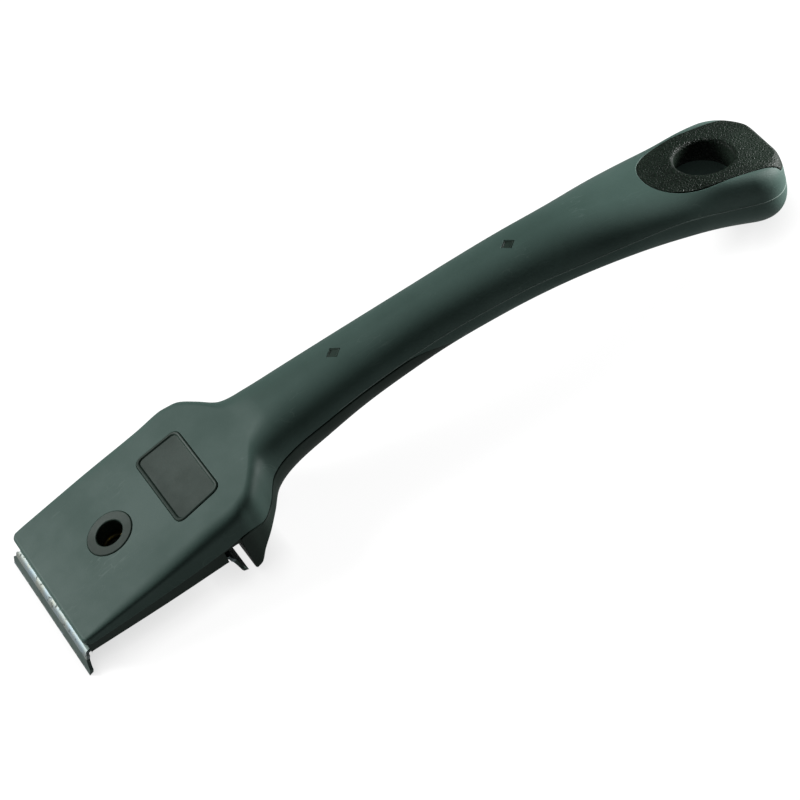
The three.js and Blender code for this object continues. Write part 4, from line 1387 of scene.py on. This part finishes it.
# %% The blade
def blade_parts():
    """The closed bar without the block round its hole, then both faces of that block and the wall."""
    path, side_facing, thickness = blade_path()
    y, down, ny, nd = bar_section(blade_half_width(path[:, 0], path[:, 1]), thickness)
    outward = np.insert(side_facing, 1, 0, axis=1)[:, None]
    place = np.insert(path, 1, 0, axis=1)[:, None] + outward * down[..., None] + y[..., None] * across_axis
    facing = outward * nd[..., None] + ny[..., None] * across_axis
    index = np.arange(y.size).reshape(y.shape)
    closed = np.concatenate([index, index[:, :1]], axis=1)
    free = np.ones((closed.shape[0] - 1, closed.shape[1] - 1), bool)
    rows = np.flatnonzero(np.abs(path[:, 0] - blade_reach / 2) < block_half)
    hole = oval_outline(web_hole_radius, web_hole_radius, 64, screw_at)
    points, normals, faces, start = [place.reshape(-1, 3)], [facing.reshape(-1, 3)], [], y.size
    for sign, height in ((1, blade_height), (-1, blade_height - blade_thickness)):
        columns = np.flatnonzero((nd[rows[0]] * sign > 0.999) & (np.abs(y[rows[0]]) < block_half))
        block = index[np.ix_(rows, columns)]
        free[rows[0]:rows[-1], columns[0]:columns[-1]] = False
        ids = start + np.arange(len(hole))
        start += len(hole)
        points.append(np.insert(hole, 2, height, axis=1))
        normals.append(np.broadcast_to([0.0, 0, sign], (len(hole), 3)))
        faces.append(fit_triangles(points[0][block][..., :2], block, [hole], [ids], 0.3))
    inward = -unit(np.insert(hole - [screw_at, 0], 2, 0, axis=1))
    return [(np.vstack(points), np.vstack(normals), faces + [quads(closed)[free.ravel()]]),
            as_sheet(np.stack(points[1:]), inward, closed=True)]


def blade_wear(points, normals):
    """Bright where metal is bare: both bends from the top of the lip on, and the bevels."""
    near = np.minimum(points[:, 0], blade_reach - points[:, 0])
    bend = np.clip((points[:, 2] - 4.2) / 0.5, 0, 1) * np.clip((4.1 - near) / 0.5, 0, 1)
    return np.clip(1.1 * bend + 0.7 * (points[:, 2] < 0.9), 0, 1.2)


new_piece("blade_strip", "blade", "blade", blade_parts(), blade_steel, blade_wear)

# %% [markdown]
# Under the blade a pressed steel plate holds it against the head. It is a rounded square with a
# countersunk hole. It could be a cube with a bevel and a Boolean hole; two carried profiles with flat
# faces between them give the same shape with even edges all round.

# %% The clamp plate
plate_top, plate_thickness, plate_rim = 5.3, 2.5, 2.0
screw_bottom = plate_top - plate_thickness
sink_top, sink_bottom = 4.4, 7.0
upwards = np.array([0.0, 0, 1.0])


def level_seat(height):
    """Seat at one height, facing up."""
    return lambda line: (np.insert(line, 2, height, axis=1), np.broadcast_to(upwards, (len(line), 3)))


def plate_outline(grow):
    """The plate's rounded square."""
    long, wide = 21 + grow, 19 + grow
    corners = [(screw_at + x * long, y * wide) for x, y in ((-1, -1), (1, -1), (1, 1), (-1, 1))]
    return rounded_outline(corners, 5 + grow, 240)


def plate_circle(radius):
    """A circle whose points stand at the same angles as the plate's outline."""
    return [screw_at, 0] + unit(plate_outline(0.0) - [screw_at, 0]) * radius


def plate_parts():
    """Rounded edge, upper and lower face out to it, and the countersink through the middle."""
    thick = plate_thickness
    edge = rounded_profile([(-plate_rim, 0), (0, 0), (0, thick), (-plate_rim, thick)], [0.1, 0.6, 0.6, 0.1])
    corners = [(sink_top, thick), (3.48, thick), (3.48, 2.6), (5.8, 0.3), (5.8, 0.0), (sink_bottom, 0)]
    sink = rounded_profile(corners, [0.1, 0.05, 0.02, 0.05, 0.12, 0.1])
    seat, faces, k = level_seat(screw_bottom), [], np.linspace(0, 1, 6)[:, None, None]
    for height, radius, sign in ((thick, sink_top, 1), (0.0, sink_bottom, -1)):
        line = plate_circle(radius) * (1 - k) + plate_outline(-plate_rim) * k
        faces.append(as_sheet(np.insert(line, 2, screw_bottom + height, axis=2), sign * upwards, closed=True))
    return [carried(plate_outline, edge, seat), carried(plate_circle, sink, seat), *faces]


def all_edge_wear(points, normals):
    """Edges are where the normal points between up and sideways."""
    return 0.8 * (np.abs(normals[:, 2]) > 0.15) * (np.abs(normals[:, 2]) < 0.95)


new_piece("clamp_plate_pressed", "plate", "clamp_plate", plate_parts(), zinc_steel, all_edge_wear)

# %% [markdown]
# The screw is countersunk and put in from below, and its end shows down the hole in the head. A Screw
# modifier could wind its thread. Here the shank's radius goes up and down once in each turn and pitch,
# and the cross recess is a height field on the head's face, so neither needs a cut.

# %% The screw
screw_radius, screw_pitch, thread_depth = 3.175, 1.27, 0.3
head_radius, head_height, screw_length, end_chamfer = 5.5, 2.62, 9.3, 0.55
recess_reach, recess_half, recess_depth = 3.1, 0.65, 1.5
round_angle = np.linspace(0, 2 * np.pi, 160, endpoint=False)


def head_face():
    """The head's face as a height field: a cross recess, deepest in the middle of its arms."""
    angle, radius = round_angle, np.linspace(0.0, head_radius - 0.15, 90)[:, None]
    x, y = radius * np.cos(angle), radius * np.sin(angle)
    arms = [np.maximum(np.abs(a) - recess_reach, np.abs(b) - recess_half) for a, b in ((x, y), (y, x))]
    arm = np.minimum(*arms)
    depth = recess_depth * np.clip(-arm / 0.45, 0, 1) ** 0.8
    radial = np.gradient(depth, axis=0) / np.gradient(radius[:, 0])[:, None]
    around = np.gradient(depth, axis=1) / (np.maximum(radius, 0.05) * (angle[1] - angle[0]))
    facing = unit(np.stack([radial * np.cos(angle) - around * np.sin(angle),
                            radial * np.sin(angle) + around * np.cos(angle), -np.ones_like(depth)], -1))
    facing[0] = -upwards
    return as_sheet(np.stack([screw_at + x, y, screw_bottom + depth], -1), facing, closed=True, pole=0)


def shank():
    """Radius less a thread whose height goes up and down once in a turn, less the end's chamfer."""
    angle, rows = round_angle, np.linspace(head_height, screw_length, 140)[:, None]
    ridge = np.abs((((rows / screw_pitch - angle / (2 * np.pi)) % 1.0) - 0.5) * 2)
    run_in, end = np.clip(rows - head_height, 0, 1), np.clip((screw_length - rows) / 0.6, 0, 1)
    radius = screw_radius - thread_depth * ridge * run_in - end_chamfer * (1 - end)
    x, y, z = screw_at + radius * np.cos(angle), radius * np.sin(angle), screw_bottom + rows + 0 * angle
    place = np.stack([x, y, z], -1)
    rise = np.gradient(radius, axis=0) / np.gradient(rows[:, 0])[:, None]
    facing = unit(np.stack([np.cos(angle) + 0 * rows, np.sin(angle) + 0 * rows, -rise], -1))
    middle = np.array([screw_at, 0, screw_bottom + screw_length])
    top = middle + (place[-1] - middle) * np.linspace(1, 0, 6)[:, None, None]
    return [as_sheet(place, facing, closed=True), as_sheet(top, upwards, closed=True)]


head_corners = [(head_radius - 0.3, 0), (head_radius, 0), (head_radius, 0.3), (screw_radius, head_height)]
head_edge = rounded_profile(head_corners, [0.05, 0.12, 0.1, 0.05])
new_piece("screw_turned", "screw", "clamp_screw",
          [head_face(), carried(ring_outline, head_edge, level_seat(screw_bottom)), *shank()],
          zinc_steel, all_edge_wear)

# %% [markdown]
# The screw turns in a short brass insert that is moulded into the body. It is a tube with a waist that
# keeps it from pulling out, and its upper rim shows as a crescent beside the screw's end.

# %% The insert
insert_bottom = 7.5
tube_corners = [(3.475, 0), (6.2, 0), (6.2, 1.9), (5.3, 1.9),
                (5.3, 3.5), (6.2, 3.5), (6.2, 5.4), (3.475, 5.4)]
tube = rounded_profile(tube_corners, [0.25, 0.25, 0.2, 0.15, 0.15, 0.2, 0.25, 0.45], closed=True)
tube = [np.vstack([part, part[:1]]) for part in tube]
tube = carried(ring_outline, tube, level_seat(insert_bottom))
new_piece("insert_tube", "handle", "threaded_insert", [tube], brass, all_edge_wear)

# %% [markdown]
# The stage is a plain pale floor under two soft lights: a large one high behind the tool on the left, and
# a small one low near the end of the handle. The paper glows to the camera like a lit table, so it stays
# white, and a little less close to the tool, where an occlusion mask leaves a faint shadow. To every other
# ray it glows far less, so it throws little light back and the near side of the tool stays dark.

# %% The floor
def grey(value):
    """A neutral colour."""
    return (value, value, value)


def floor_piece():
    """A wide flat sheet with a faint cloudy tone that glows to the camera, dimmed close under the tool as a
    painted shadow.
    """
    mesh = bpy.data.meshes.new("floor")
    mesh.from_pydata([(-3, -3, 0), (3, -3, 0), (3, 3, 0), (-3, 3, 0)], [], [(0, 1, 2, 3)])
    material, tree, shader = new_finish("paper floor", 0.9, specular=0.1)
    mark = placed(tree, marks, Scale=2.0, Amount=1.0)
    feed(tree, blend_colours(tree, mark, grey(0.14), grey(0.16)), shader.inputs["Base Color"])
    # Painted shadow: ambient occlusion dims the floor's glow close under the tool.
    near = node_with(tree, "AmbientOcclusion", Distance=0.012).outputs["AO"]
    glow_with_painted_shadow = blend_colours(tree, near, grey(0.60), grey(0.95))
    seen_by = tree.nodes.new("ShaderNodeLightPath").outputs["Is Camera Ray"]
    feed(tree, blend_colours(tree, seen_by, grey(0.32), glow_with_painted_shadow), shader.inputs["Emission Color"])
    shader.inputs["Emission Strength"].default_value = 1.0
    mesh.materials.append(material)
    floor = in_scene("floor", mesh)
    floor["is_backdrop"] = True


floor_piece()

# %% Lights and the world
def stand(thing, *columns):
    """Sets where an object stands: its three axes and its place are the columns of its matrix."""
    thing.matrix_world = Matrix(np.vstack([np.column_stack(columns), [0, 0, 0, 1]]).tolist())


def area_light(name, place, target, size, power):
    """A square soft light at a place, aimed at a target."""
    data = bpy.data.lights.new(name, "AREA")
    data.size, data.energy = size, power
    back = unit(np.array(place, float) - np.array(target, float))
    right = unit(np.cross(upwards, back))
    stand(in_scene(name, data), right, np.cross(back, right), back, place)


def studio_world():
    """White to the eye, and a dim even light from all sides otherwise."""
    world = bpy.data.worlds.new("studio")
    world.use_nodes = True
    tree, wide = world.node_tree, world.node_tree.nodes["Background"]
    seen_by = tree.nodes.new("ShaderNodeLightPath").outputs["Is Camera Ray"]
    wide.inputs["Color"].default_value = (1.0, 1.0, 1.0, 1.0)
    feed(tree, map_range(tree, seen_by, To_Min=0.02, To_Max=1.0), wide.inputs["Strength"])
    bpy.context.scene.world = world


area_light("back light", (-0.95, 0.95, 0.95), (0, 0, 0.02), 0.7, 36.0)
area_light("right light", (0.50, 0.02, 0.08), (0.12, 0.08, 0.02), 0.14, 4.8)
studio_world()
bpy.context.scene.view_settings.view_transform = "Standard"
print("lights:", [light.name for light in bpy.data.lights])

# %% [markdown]
# The camera stands where the photograph's did. It could be placed by eye, but then no edge would lie
# where it does in the photograph. Its place and its axes were worked out once in the drawing frame, and
# are turned onto the bench like the tool itself.

# %% The camera
camera_axes = np.array([[0.82531, -0.472898, -0.308594], [-0.549727, -0.547937, -0.630527],
                        [0.129085, 0.690023, -0.712183]])
camera_place = np.array([-3.529, -761.670, 780.447])
right, down, away = turned_to_bench(camera_axes)
camera_data = bpy.data.cameras.new("camera")
camera_data.sensor_width, camera_data.lens = 36.0, 145.73
camera_data.clip_start, camera_data.clip_end = 0.05, 20.0
camera = in_scene("camera", camera_data)
stand(camera, right, -down, -away, on_bench(camera_place))
bpy.context.scene.camera = camera
print("camera at", np.round(on_bench(camera_place), 3).tolist())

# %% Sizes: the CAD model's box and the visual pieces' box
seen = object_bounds()
for name, box in (("CAD box", cad_box), ("visual box", seen)):
    print(name, [[round(v, 4) for v in corner] for corner in box])
